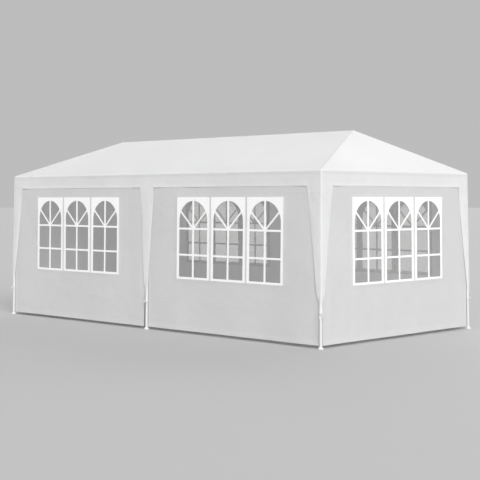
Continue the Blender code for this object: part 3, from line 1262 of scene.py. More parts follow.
        # The rings' corners have no room for a bend at the ridge
        room = np.minimum.reduce([sizes.reach(side) + profiles[side].out for side in Side])
        radius = np.minimum(self.crease_radius, self.crease_share * np.maximum(room, 0.0))
        parts = {side: self._side_grid(side, profiles, radius) for side in Side}
        cloth = ClothMesh()
        for side, (grid, flat, hem) in parts.items():
            corner = self._corner_grid(side, profiles, radius, grid, parts[side.following][0])
            bent = lengths_along(corner[-1])[1:]
            cloth.add_patch(
                np.concatenate([grid, corner[:, 1:]], axis=1),
                np.concatenate([flat, flat_map(flat[:, -1:, 0] + bent, flat[:, -1:, 1])], axis=1),
                np.concatenate([hem, np.repeat(hem[:, -1:], len(bent), axis=1)], axis=1))
            self._add_corner_flap(cloth, side, corner)
            if side.is_long:
                self._add_middle_flap(cloth, side)
        nodes = [f"{kind}_{side.word}" for kind in ("roof_panel", "valance") for side in Side]
        piece = settle(cloth.mesh("cover_sheet", self.thickness), self.finishes.cover, nodes)
        across = 2 * (sizes.slope(Side.FRONT) + sizes.eave_height - self.middle_flap_height)
        along = sizes.ridge_length + 2 * (sizes.slope(Side.RIGHT) + self.valance_depth)
        self.flat_area()

    def flat_area(self) -> float:
        """Work out the area of cloth that the cover is sewn from.

        Returns:
            The area in square metres.
        """
        sizes = self.sizes
        slopes = (sizes.length + sizes.ridge_length) * sizes.slope(Side.FRONT)
        slopes += sizes.width * sizes.slope(Side.RIGHT)
        valances = 2 * (sizes.length + sizes.width) * self.valance_depth
        hem_height = sizes.eave_height - self.valance_depth
        corners = 4 * (self.corner_flap + self.corner_flap_end) * (hem_height - self.corner_flap_height)
        middles = (self.middle_flap + self.middle_flap_end) * (hem_height - self.middle_flap_height)
        return slopes + valances + corners + middles

    def _side_grid(self, side: Side, profiles: dict, radius: Grid) -> tuple[Grid, Grid, Grid]:
        """Lay the grid of one side between its corners.

        Args:
            side: of the tent.
            profiles: the sides' sections.
            radius: of the rings' corners.

        Returns:
            The points, their flat places and their distances from a hem.
        """
        profile, across = profiles[side], self.columns(side)
        u = (self.sizes.half(side) + profiles[side.following].out - radius)[:, None] * across[None, :]
        lift = self._relief(side, across, u, profile)
        out = profile.out[:, None] + lift * profile.facing[:, :1]
        height = profile.height[:, None] + lift * profile.facing[:, 1:]
        points = side.points(u, self.sizes.reach(side) + out, height)
        return points, flat_map(u, profile.along[:, None]), self._hem_distance(side, u, profile)

    def _corner_grid(self, side: Side, profiles: dict, radius: Grid, before: Grid, after: Grid) -> Grid:
        """Lay the bend at a side's right corner, from its last column to the next side's first.

        Args:
            side: that ends at the corner.
            profiles: the sides' sections.
            radius: of the rings' corners.
            before: grid of the side.
            after: grid of the side that follows.

        Returns:
            The points, rings by columns.
        """
        one, two = profiles[side], profiles[side.following]
        half = self.sizes.half(side) + two.out - radius
        reach = self.sizes.reach(side) + one.out - radius
        columns = [before[:, -1]]
        for share in np.linspace(0.0, 1.0, self.bend_steps + 1)[1:-1]:
            across, out = math.sin(share * math.pi / 2), math.cos(share * math.pi / 2)
            height = (1.0 - share) * one.height + share * two.height
            columns.append(side.points(half + radius * across, reach + radius * out, height))
        return np.stack([*columns, after[:, 0]], axis=1)

    def _wrapped(self, distance: Grid, share: Grid) -> tuple[Grid, Grid]:
        """Bend cloth round a leg behind it.

        Args:
            distance: of the cloth from where it touches the leg.
            share: how far it is wrapped, from 0, flat, to 1.

        Returns:
            Its distance seen from outside, and how deep it goes.
        """
        angle = np.clip(distance / self.bend, -math.pi / 2, math.pi / 2)
        beside = (1.0 - share) * distance + share * self.bend * np.sin(angle)
        return beside, share * self.bend * (1.0 - np.cos(angle))

    def _flap_rows(self, face: Face, end_height: float) -> tuple[Grid, Grid, Grid]:
        """Lay a flap's rows, from the valance's hem down to its end.

        Args:
            face: that the flap hangs on.
            end_height: of its end above the ground.

        Returns:
            The rows' places along v, their shares of the way down, and how far the flap is
            gathered round its leg there, from 0 to 1.
        """
        end = face.height_to_v(end_height, 0.0)
        marks = [-self.hem_depth, end + self.hem + self.hem_step, end + self.hem, end]
        rows = spaced(marks, self.spacing)[::-1]
        drop = (rows - rows[0]) / (rows[-1] - rows[0])
        return rows, drop, smoothstep(*self.wrap_heights, rows + self.sizes.eave_height)

    def _flap_relief(self, inside: Grid, from_leg: Grid, drop: Grid, seed: float) -> Grid:
        """Shape the long folds down a flap, its hems and its curled edges.

        Args:
            inside: distance of each point from the flap's free edge.
            from_leg: distance of each point from the leg's axis.
            drop: share of the way down.
            seed: of the pattern.

        Returns:
            The distance outwards, none along the valance's hem.
        """
        share = inside / (inside + from_leg)
        across, down = self.fold_turns
        wave = 0.5 + 0.5 * np.sin(math.tau * (across * share + down * drop) + seed)
        calm = smoothstep(0.0, self.fold_start, drop) * (1.0 - self.fold_fade * drop)
        fold = self.flap_fold * calm * wave * np.clip(4 * share * (1 - share), 0, 1)
        start = smoothstep(0.0, self.flap_start, drop)
        curl = self.flap_curl * start * smoothstep(*self.curl_reach, from_leg)
        tuck = self.edge_tuck * start * smoothstep(self.tuck_width, 0.0, inside)
        tuck = tuck * smoothstep(*self.tuck_reach, from_leg)
        lift = fold - curl - tuck + self.hem_relief * (inside <= self.hem + HAIR)
        lift[0] = 0.0
        return lift

    def _add_corner_flap(self, cloth: ClothMesh, side: Side, corner: Grid) -> None:
        """Add the flap that runs down the leg at a side's right corner, over both of its sides.

        Args:
            cloth: the cover's mesh.
            side: that ends at the corner.
            corner: grid of the bend above, whose last row the flap joins.
        """
        faces = Face(self.sizes, side), Face(self.sizes, side.following)
        rows, drop, gathered = self._flap_rows(faces[0], self.corner_flap_height)
        radius = self.crease_radius + (self.bend - self.crease_radius) * gathered
        width = self.corner_flap + (self.corner_flap_end - self.corner_flap) * drop - radius
        top_width = self.corner_flap - self.crease_radius
        parts = []
        for number, face in enumerate(faces):
            run = face.corner_u(0.0, rows[0]) - self.crease_radius
            columns = self.columns(face.side) * run - (run - top_width)
            chosen = columns[columns >= -HAIR]
            inside = chosen[None, :] * (width / top_width)[:, None]
            from_leg = np.maximum((width + radius - self.bend)[:, None] - inside, 0.0)
            lift = self._flap_relief(inside, from_leg, drop[:, None], 1.3 * side.value + number)
            beside, depth = self._wrapped(width[:, None] - inside, gathered[:, None])
            u = (face.corner_u(0.0, rows) - radius)[:, None] - beside
            depth = depth - lift
            if number == 1:
                u, depth, inside = -u[:, ::-1], depth[:, ::-1], inside[:, ::-1]
            parts.append((face.world(u, rows[:, None], depth), flat_map(u, rows[:, None]), inside))
        (left, left_map, _), (right, _, _) = parts
        bend = self._flap_bend(faces, rows, radius, corner.shape[1])
        bend[0] = corner[-1]
        bend[:, 0] = left[:, -1]
        bend[:, -1] = right[:, 0]
        left[0, -1] = corner[-1, 0]
        beyond = np.linspace(0.0, self.crease_radius * math.pi / 2, corner.shape[1])
        cloth.add_patch(*parts[0])
        cloth.add_patch(bend, flat_map(beyond + left_map[:, -1:, 0], rows[:, None]))
        cloth.add_patch(*parts[1])

    @staticmethod
    def _flap_bend(faces: tuple[Face, Face], rows: Grid, radius: Grid, count: int) -> Grid:
        """Lay a corner flap where it bends round the corner.

        Args:
            faces: that meet at the corner.
            rows: places along v.
            radius: of the bend at each row.
            count: of columns.

        Returns:
            The points, rows by columns.
        """
        one, two = (np.array(face.matrix.to_3x3().col[2]) for face in faces)
        start = faces[0].world(faces[0].corner_u(0.0, rows) - radius, rows, 0.0)
        end = faces[1].world(radius - faces[1].corner_u(0.0, rows), rows, 0.0)
        centre = (start + end - radius[:, None] * (one + two)) / 2
        angles = np.linspace(0.0, math.pi / 2, count)[:, None]
        return centre[:, None] + radius[:, None, None] * (one * np.cos(angles) + two * np.sin(angles))

    def _add_middle_flap(self, cloth: ClothMesh, side: Side) -> None:
        """Add the flap that runs down a long side's middle leg.

        Args:
            cloth: the cover's mesh.
            side: a long one.
        """
        face = Face(self.sizes, side)
        rows, drop, gathered = self._flap_rows(face, self.middle_flap_height)
        columns = self.columns(side) * (face.corner_u(0.0, rows[0]) - self.crease_radius)
        chosen = columns[np.abs(columns) <= self.middle_flap / 2 + HAIR]
        half = (self.middle_flap + (self.middle_flap_end - self.middle_flap) * drop) / 2
        flat_u = chosen[None, :] * (half / half[0])[:, None]
        inside = half[:, None] - np.abs(flat_u)
        lift = self._flap_relief(inside, np.abs(flat_u), drop[:, None], 0.8 + side.value)
        beside, depth = self._wrapped(flat_u, gathered[:, None])
        cloth.add_patch(face.world(beside, rows[:, None], depth - lift),
                        flat_map(flat_u, rows[:, None]), inside)


# The side walls


@dataclass(frozen=True)
class Window:
    """One wall's window: units side by side, each with an arch over four panes.

    Attributes:
        units, unit_width, unit_spacing: number and width of the cut-outs, and the strips between them.
        bottom, top: heights of the cut-outs' sills and heads.
        film_margin: how far the film laps over the wall inside.
        stile, rail: width of the frame at a unit's sides, and its height at the sill.
        centre_bar, cross_bar, spoke: widths of the upright, the level and the slanted bars.
        arch_top: height of the arch's crown.
        springing, lower_bar: heights of the middles of the level bars.
        spoke_aim: where a slanted bar from the upper level bar aims, across and up.
        arc_steps: steps of the arch in each pane.
    """

    unit_width: float = 0.595
    unit_spacing: float = 0.0275
    units: int = 3
    bottom: float = 0.70
    top: float = 1.748
    film_margin: float = 0.020
    stile: float = 0.040
    rail: float = 0.027
    centre_bar: float = 0.029
    cross_bar: float = 0.024
    spoke: float = 0.022
    arch_top: float = 1.700
    springing: float = 1.345
    lower_bar: float = 1.010
    spoke_aim: tuple[float, float] = (0.228482, 1.565)
    arc_steps: int = 10

    @property
    def arch_radius(self) -> float:
        """Radius of the arch."""
        return self.unit_width / 2 - self.stile

    @property
    def arch_centre(self) -> float:
        """Height of the arch's middle."""
        return self.arch_top - self.arch_radius

    def unit_centres(self, middle: float) -> list[float]:
        """Middles of the units in a bay."""
        pitch = self.unit_width + self.unit_spacing
        return [middle + (number - (self.units - 1) / 2) * pitch for number in range(self.units)]

    def panes(self) -> list[Outline]:
        """Draw one unit's panes, across from its middle and up from the ground.

        Returns:
            Eight outlines.
        """
        radius, centre = self.arch_radius, self.arch_centre
        inner, half_bar = self.centre_bar / 2, self.cross_bar / 2
        base = self.springing + half_bar
        boxes = ((self.bottom + self.rail, self.lower_bar - half_bar),
                 (self.lower_bar + half_bar, self.springing - half_bar))
        right = [[(inner, low), (radius, low), (radius, high), (inner, high)] for low, high in boxes]
        across, rise = self.spoke_aim[0], self.spoke_aim[1] - self.springing
        way = (across / math.hypot(across, rise), rise / math.hypot(across, rise))
        low, high = ((edge * way[1] * self.spoke / 2, self.springing - edge * way[0] * self.spoke / 2)
                     for edge in (1, -1))
        low_foot = low[0] + (base - low[1]) * way[0] / way[1]
        high_foot = high[1] + (inner - high[0]) * way[1] / way[0]
        right.append([(low_foot, base), (radius, base), (radius, centre),
                      *self._arc(0.0, self._meeting_angle(low, way))[1:]])
        right.append([(inner, high_foot),
                      *self._arc(self._meeting_angle(high, way), math.acos(inner / radius))])
        return right + [[(-x, z) for x, z in reversed(pane)] for pane in right]

    def _meeting_angle(self, point: tuple[float, float], way: tuple[float, float]) -> float:
        """Find where a line from inside the arch's circle meets it.

        Args:
            point: on the line, across and up.
            way: direction of the line, of length one.

        Returns:
            The angle round the arch's middle, from level on the right.
        """
        x, z = point[0], point[1] - self.arch_centre
        along = x * way[0] + z * way[1]
        reach = -along + math.sqrt(along * along - (x * x + z * z - self.arch_radius ** 2))
        return math.atan2(z + reach * way[1], x + reach * way[0])

    def _arc(self, start: float, end: float) -> Outline:
        """Points of the arch between two angles."""
        angles, radius = np.linspace(start, end, self.arc_steps + 1), self.arch_radius
        return [(radius * math.cos(angle), self.arch_centre + radius * math.sin(angle)) for angle in angles]


@dataclass
class SideWall:
    """One wall between two legs, which hangs from the eave tube. Its kinds say what is cut out of it.

    Attributes:
        draw_back, draw_heights: how far its lower left and right corners draw back from their legs, and
            between which heights.
        spacing, edge_room: longest step of the mesh, and room between a hem and the first straight column.
        leg_gap: between the wall's edges and the legs.
        inset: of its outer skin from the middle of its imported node.
        weld: width of the weld round a cut-out.
        bulge, brow: how far it hangs out towards the cover, and further behind the valance's hem.
        swell, hem_swell: height of its upright folds, and of those of its bottom hem.
        held_width, lift_range: distance from an edge over which the cloth comes free, and the furthest
            that it stands in and out.
        strap_room, tab_inset: between a strap and the wall, and of a strap's tab from the wall's edge.
        loop_width, loop_spacing, loop_margin: of the straps round the eave tube, between them, and from the
            wall's edge to the first.
        loop_tabs: how far they come down outside and inside.
        strap_width, strap_heights: of the straps round the legs.
        end_lift, bay_lift: how much higher those are on an end side, and on a right bay.
        strap_wrap, strap_tab: angles between which they bend, and how far they come over the wall.
    """

    sizes: TentSizes
    finishes: Finishes
    side: Side
    bay: Bay
    draw_back: tuple[float, float]
    draw_heights: tuple[float, float] = (0.62, 0.30)
    thickness: float = 0.0011
    spacing: float = 0.05
    edge_room: float = 0.02
    leg_gap: float = 0.010
    inset: float = 0.001
    hem: float = 0.028
    hem_step: float = 0.003
    weld: float = 0.012
    relief: float = 0.0006
    bulge: float = 0.0055
    brow: float = 0.0030
    swell: float = 0.0030
    swell_waves: Waves = ((1.0, 1.7, 0.35, 0.0), (0.45, 4.0, 0.8, 7.0))
    hem_swell: float = 0.0045
    hem_waves: Waves = ((1.0, 2.6, 0.2, 3.0),)
    held_width: float = 0.12
    lift_range: tuple[float, float] = (-0.006, 0.0085)
    strap_thickness: float = 0.0007
    strap_room: float = 0.0006
    tab_inset: float = 0.004
    loop_width: float = 0.038
    loop_spacing: float = 0.55
    loop_margin: float = 0.14
    loop_tabs: tuple[float, float] = (0.030, 0.075)
    loop_steps: int = 14
    strap_width: float = 0.025
    strap_heights: tuple[float, ...] = (0.72, 1.38)
    end_lift: float = 0.06
    bay_lift: float = 0.12
    strap_wrap: tuple[float, float] = (-0.1 * math.pi, 1.55 * math.pi)
    strap_steps: int = 24
    strap_tab: float = 0.070

    @property
    def label(self) -> str:
        """The wall's name as the nodes spell it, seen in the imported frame.

        Returns:
            Its side, and its bay on a long side.
        """
        if self.bay is Bay.WHOLE:
            return self.side.word
        left = (self.bay is Bay.LEFT) != (self.side is Side.BACK)
        return f"{self.side.word}_{'left' if left else 'right'}"

    @property
    def face(self) -> Face:
        """Plane of the side."""
        return Face(self.sizes, self.side)

    @property
    def depth(self) -> float:
        """Depth of the wall's outer skin."""
        return self.sizes.tube_depth - self.inset

    @property
    def strap_depth(self) -> float:
        """Depth of the outside of a strap's tab on the inside of the wall."""
        return self.depth + self.thickness + self.strap_thickness + self.strap_room

    @property
    def middle(self) -> float:
        """Place of the bay's middle along the eave."""
        return self.bay.value * self.sizes.half(self.side)

    @property
    def bottom(self) -> float:
        """Place of the bottom hem along v."""
        return self.place_up(self.sizes.ground_gap)

    @property
    def top(self) -> float:
        """Place of the top hem along v, under the eave tube."""
        return self.place_up(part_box(f"wall_{self.label}")[1].z)

    @property
    def hem_steps(self) -> tuple[float, float, float]:
        """Distances from an edge at which a hem needs lines of the mesh."""
        return 0.0, self.hem, self.hem + self.hem_step

    @property
    def weld_steps(self) -> tuple[float, float, float]:
        """Distances from a cut-out at which its weld needs lines of the mesh."""
        return 0.0, self.weld, self.weld + self.hem_step

    def place_up(self, height: Grid | float) -> Grid | float:
        """Place along v of a height above the ground, in the middle of the wall."""
        return self.face.height_to_v(height, self.sizes.tube_depth)

    def edges(self, v: Grid | float) -> tuple[Grid, Grid]:
        """Work out the left and right edges of the wall.

        Args:
            v: places up the wall.

        Returns:
            The places of both edges along the eave.
        """
        v = np.asarray(v, float)
        margin = self.sizes.tube_radius + self.leg_gap
        outer = self.face.corner_u(self.sizes.tube_depth, v) - margin
        left = margin if self.bay is Bay.RIGHT else -outer
        right = -margin if self.bay is Bay.LEFT else outer
        drawn = smoothstep(*self.draw_heights, self.sizes.eave_height + v * math.cos(self.sizes.splay))
        return left + self.draw_back[0] * drawn, right - self.draw_back[1] * drawn

    def lift(self, u: Grid, v: Grid) -> Grid:
        """Work out how far the hanging cloth stands out from its plane.

        Args:
            u: places along the eave.
            v: places up the wall.

        Returns:
            The distance outwards.
        """
        u, v = np.broadcast_arrays(np.asarray(u, float), np.asarray(v, float))
        left, right = self.edges(v)
        held = smoothstep(0.0, self.held_width, np.minimum(u - left, right - u))
        seed = 5.3 * self.side.value + 2.0 * self.bay.value
        down = (self.top - v) / (self.top - self.bottom)
        bulge = self.bulge * (1.0 - 0.7 * smoothstep(0.5, 1.0, down))
        brow = self.brow * smoothstep(0.0, 0.05, down) * smoothstep(0.35, 0.12, down)
        loose = 0.35 + 0.65 * smoothstep(0.05, 0.30, down)
        swell = self.swell * loose * soft_swells(u, v, self.swell_waves, seed)
        hem = self.hem_swell * smoothstep(0.72, 1.0, down) * soft_swells(u, v, self.hem_waves, seed)
        calm = smoothstep(0.0, 0.07, down)
        return held * calm * np.clip(bulge + brow + swell + hem, *self.lift_range)

    def point(self, u: Grid, v: Grid, depth: Grid | float) -> Grid:
        """Points on the hanging cloth, at a depth below the side before the cloth's own folds."""
        return self.face.world(u, v, depth - self.lift(u, v))

    @property
    def cuts(self) -> list[tuple[float, float]]:
        """Left and right edges of the wall's cut-outs."""
        raise NotImplementedError

    @property
    def cut_rows(self) -> tuple[float, float]:
        """Places of their lower and upper edges along v."""
        raise NotImplementedError

    @property
    def cut_area(self) -> float:
        """Area of the wall's cut-outs."""
        raise NotImplementedError

    def _cut_distance(self, u: Grid, v: Grid) -> Grid:
        """Measure how far points lie from the nearest cut-out.

        Args:
            u: places along the eave.
            v: places up the wall.

        Returns:
            The distances, 0 in a cut-out.
        """
        low, high = self.cut_rows
        beside = np.minimum.reduce([np.maximum(start - u, u - end) for start, end in self.cuts])
        return np.maximum(beside, np.maximum(np.maximum(low - v, v - high), 0.0))

    def _marks(self) -> tuple[list[float], list[float]]:
        """Find where hems, cut-outs and the welds round them need lines of the mesh.

        Returns:
            The places along u, and those along v.
        """
        cuts, (low, high) = self.cuts, self.cut_rows
        marks_u = [edge for cut in cuts for edge in cut]
        for step in self.weld_steps[1:]:
            marks_u += [cuts[0][0] - step, cuts[-1][1] + step]
        marks_v = [place for step in self.weld_steps for place in (low - step, high + step)]
        marks_v += [place for step in self.hem_steps for place in (self.bottom + step, self.top - step)]
        return marks_u, [place for place in set(marks_v) if place >= self.bottom]

    def _grid(self) -> tuple[Grid, Grid]:
        """Lay the grid of the wall: straight columns inside, and outer ones that follow the legs.

        Returns:
            u and v of the grid, rows by columns, from the top down.
        """
        marks_u, marks_v = self._marks()
        rows = spaced(marks_v, self.spacing)[::-1]
        left, right = self.edges(rows)
        room = self.hem_steps[-1] + self.edge_room
        straight = spaced([np.max(left) + room, np.min(right) - room, *marks_u], self.spacing)
        columns = [left + step for step in self.hem_steps]
        columns += [np.full_like(rows, place) for place in straight]
        columns += [right - step for step in reversed(self.hem_steps)]
        return np.stack(columns, axis=1), np.repeat(rows[:, None], len(columns), axis=1)

    def make_cloth(self) -> None:
        """Make the wall's cloth, in place of its node."""
        u, v = self._grid()
        left, right = self.edges(v)
        hem = np.minimum.reduce([u - left, right - u, self.top - v, v - self.bottom])
        hem = np.where(hem < 2 * self.hem, hem, NO_HEM)
        raised = self.relief * ((hem <= self.hem + HAIR) | (self._cut_distance(u, v) <= self.weld + HAIR))
        middle_u, middle_v = ((grid[:-1, :-1] + grid[1:, 1:]) / 2 for grid in (u, v))
        cloth = ClothMesh()
        cloth.add_patch(self.point(u, v, self.depth - raised), flat_map(u, v), hem,
                        self._cut_distance(middle_u, middle_v) > 0.0)
        piece = settle(cloth.mesh(f"wall_sheet_{self.label}", self.thickness), self.finishes.wall,
                       [f"wall_{self.label}"])
        low_left, low_right = self.edges(self.bottom)
        width, height = float(low_right - low_left) + sum(self.draw_back), self.top - self.bottom
        width * height - self.cut_area

    def make_loops(self) -> None:
        """Make the hook-and-loop straps that hang the wall from its eave tube, as one piece."""
        left, right = self.edges(self.top)
        count = max(3, round(float(right - left) / self.loop_spacing))
        radius = self.sizes.tube_radius + self.strap_thickness + SKIN_GAP
        axis = self.top + self.sizes.tube_radius + SEAT_GAP
        angles = np.linspace(0.0, math.pi, self.loop_steps + 1)
        outside, inside = self.depth - self.relief - 2 * SKIN_GAP, self.strap_depth
        bend = zip(axis + radius * np.sin(angles), self.sizes.tube_depth - radius * np.cos(angles))
        # The path climbs outside and comes down inside, as places up the wall and depths
        path = np.array([(self.top - self.loop_tabs[0], outside), (self.top - self.tab_inset, outside),
                         *bend,
                         (self.top - self.tab_inset, inside), (self.top - self.loop_tabs[1], inside)])
        half = np.array([-0.5, 0.0, 0.5]) * self.loop_width
        cloth = ClothMesh()
        for centre in np.linspace(left + self.loop_margin, right - self.loop_margin, count):
            cloth.add_patch(self.face.world(centre - half, path[::-1, :1], path[::-1, 1:]),
                            flat_map(centre + half, lengths_along(path)[:, None]))
        settle(cloth.mesh(f"wall_loops_{self.label}", self.strap_thickness), self.finishes.strap)

    def make_leg_straps(self) -> None:
        """Make the hook-and-loop straps that hold the wall's edges to its legs, as one piece."""
        radius = self.sizes.tube_radius + self.strap_thickness + SKIN_GAP
        higher = (0.0 if self.side.is_long else self.end_lift) + self.bay_lift * (self.bay is Bay.RIGHT)
        angles = np.linspace(*self.strap_wrap, self.strap_steps + 1)
        cloth = ClothMesh()
        for height in self.strap_heights:
            v = self.place_up(height + higher)
            for edge, way in zip(self.edges(v), (1.0, -1.0)):
                axis = edge - way * (self.sizes.tube_radius + self.leg_gap)
                bend = zip(axis + way * radius * np.cos(angles),
                           self.sizes.tube_depth - radius * np.sin(angles))
                tab = [(edge + way * reach, self.strap_depth) for reach in (self.tab_inset, self.strap_tab)]
                path = np.array([*bend, *tab])[::int(-way)]
                rows = (v + np.array([0.5, 0.0, -0.5]) * self.strap_width)[:, None]
                cloth.add_patch(self.face.world(path[:, 0], rows, path[:, 1]),
                                flat_map(rows, lengths_along(path)))
        settle(cloth.mesh(f"wall_leg_straps_{self.label}", self.strap_thickness), self.finishes.strap)

    def make(self) -> None:
        """Make the wall and its straps."""
        self.make_cloth()
        self.make_loops()
        self.make_leg_straps()


@dataclass
class WindowWall(SideWall):
    """A wall with a window: clear film behind cut-outs, with bars printed on it.

    Attributes:
        window: in the wall.
        film_thickness, film_depth: of the window film, and of its inner skin.
        bend_reach: from the window's middle up to which the bars get edges to bend at.
        smooth_angle: under which the bars' faces flow into each other, in degrees.
    """

    window: Window = Window()
    film_thickness: float = 0.0005
    film_depth: float = 0.0221
    bend_reach: float = 1.0
    smooth_angle: float = 40.0

    @property
    def cuts(self) -> list[tuple[float, float]]:
        """Left and right edges of the window's units."""
        half = self.window.unit_width / 2
        return [(centre - half, centre + half) for centre in self.window.unit_centres(self.middle)]

    @property
    def cut_rows(self) -> tuple[float, float]:
        """Places of their sills and heads along v."""
        return self.place_up(self.window.bottom), self.place_up(self.window.top)

    @property
    def cut_area(self) -> float:
        """Area of the window's units."""
        return self.window.units * self.window.unit_width * (self.window.top - self.window.bottom)

    def make_film(self) -> None:
        """Make the clear film behind the cut-outs, in place of its node."""
        cuts, (sill, head), margin = self.cuts, self.cut_rows, self.window.film_margin
        columns = spaced([cuts[0][0] - margin, cuts[-1][1] + margin], self.spacing)
        rows = spaced([sill - margin, head + margin], self.spacing)[::-1]
        u, v = np.meshgrid(columns, rows)
        cloth = ClothMesh()
        cloth.add_patch(self.point(u, v, self.film_depth - self.film_thickness), flat_map(u, v))
        piece = settle(cloth.mesh(f"window_pane_{self.label}", self.film_thickness), self.finishes.film,
                       [f"window_film_{self.label}"])

    def make_bars(self) -> None:
        """Make the white printed frames and bars of all the window's units, as one piece."""
        window = self.window
        front = self.depth - 2 * SKIN_GAP
        back = self.film_depth - self.film_thickness - SKIN_GAP
        half = window.unit_width / 2 - 2 * SKIN_GAP
        frame = [(-half, window.bottom), (half, window.bottom), (half, window.top), (-half, window.top)]
        outlines = [[(centre + x, z) for x, z in outline]
                    for centre in window.unit_centres(self.middle) for outline in (frame, *window.panes())]
        mesh = filled_outlines(f"window_bars_{self.label}", outlines, (back - front) / 2)
        rows = spaced([window.bottom, window.top], self.spacing)[1:-1]
        columns = spaced([self.middle - self.bend_reach, self.middle + self.bend_reach], self.spacing)
        cuts = [((0, z, 0), (0, 1, 0)) for z in rows] + [((x, 0, 0), (1, 0, 0)) for x in columns]
        with edited(mesh) as shape:
            # Edges where planes cross the bars let them bend with the film
            for place, normal in cuts:
                everything = shape.verts[:] + shape.edges[:] + shape.faces[:]
                bmesh.ops.bisect_plane(shape, geom=everything, dist=HAIR, plane_co=place, plane_no=normal)
        places = np.array([vertex.co for vertex in mesh.vertices])
        depth = (front + back) / 2 - places[:, 2]
        points = self.point(places[:, 0], self.place_up(places[:, 1]), depth)
        mesh.vertices.foreach_set("co", points.ravel())
        smooth(mesh, self.smooth_angle)
        settle(mesh, self.finishes.bars)

    def make(self) -> None:
        """Make the wall, its window and its straps."""
        self.make_cloth()
        self.make_film()
        self.make_bars()
        self.make_loops()
        self.make_leg_straps()


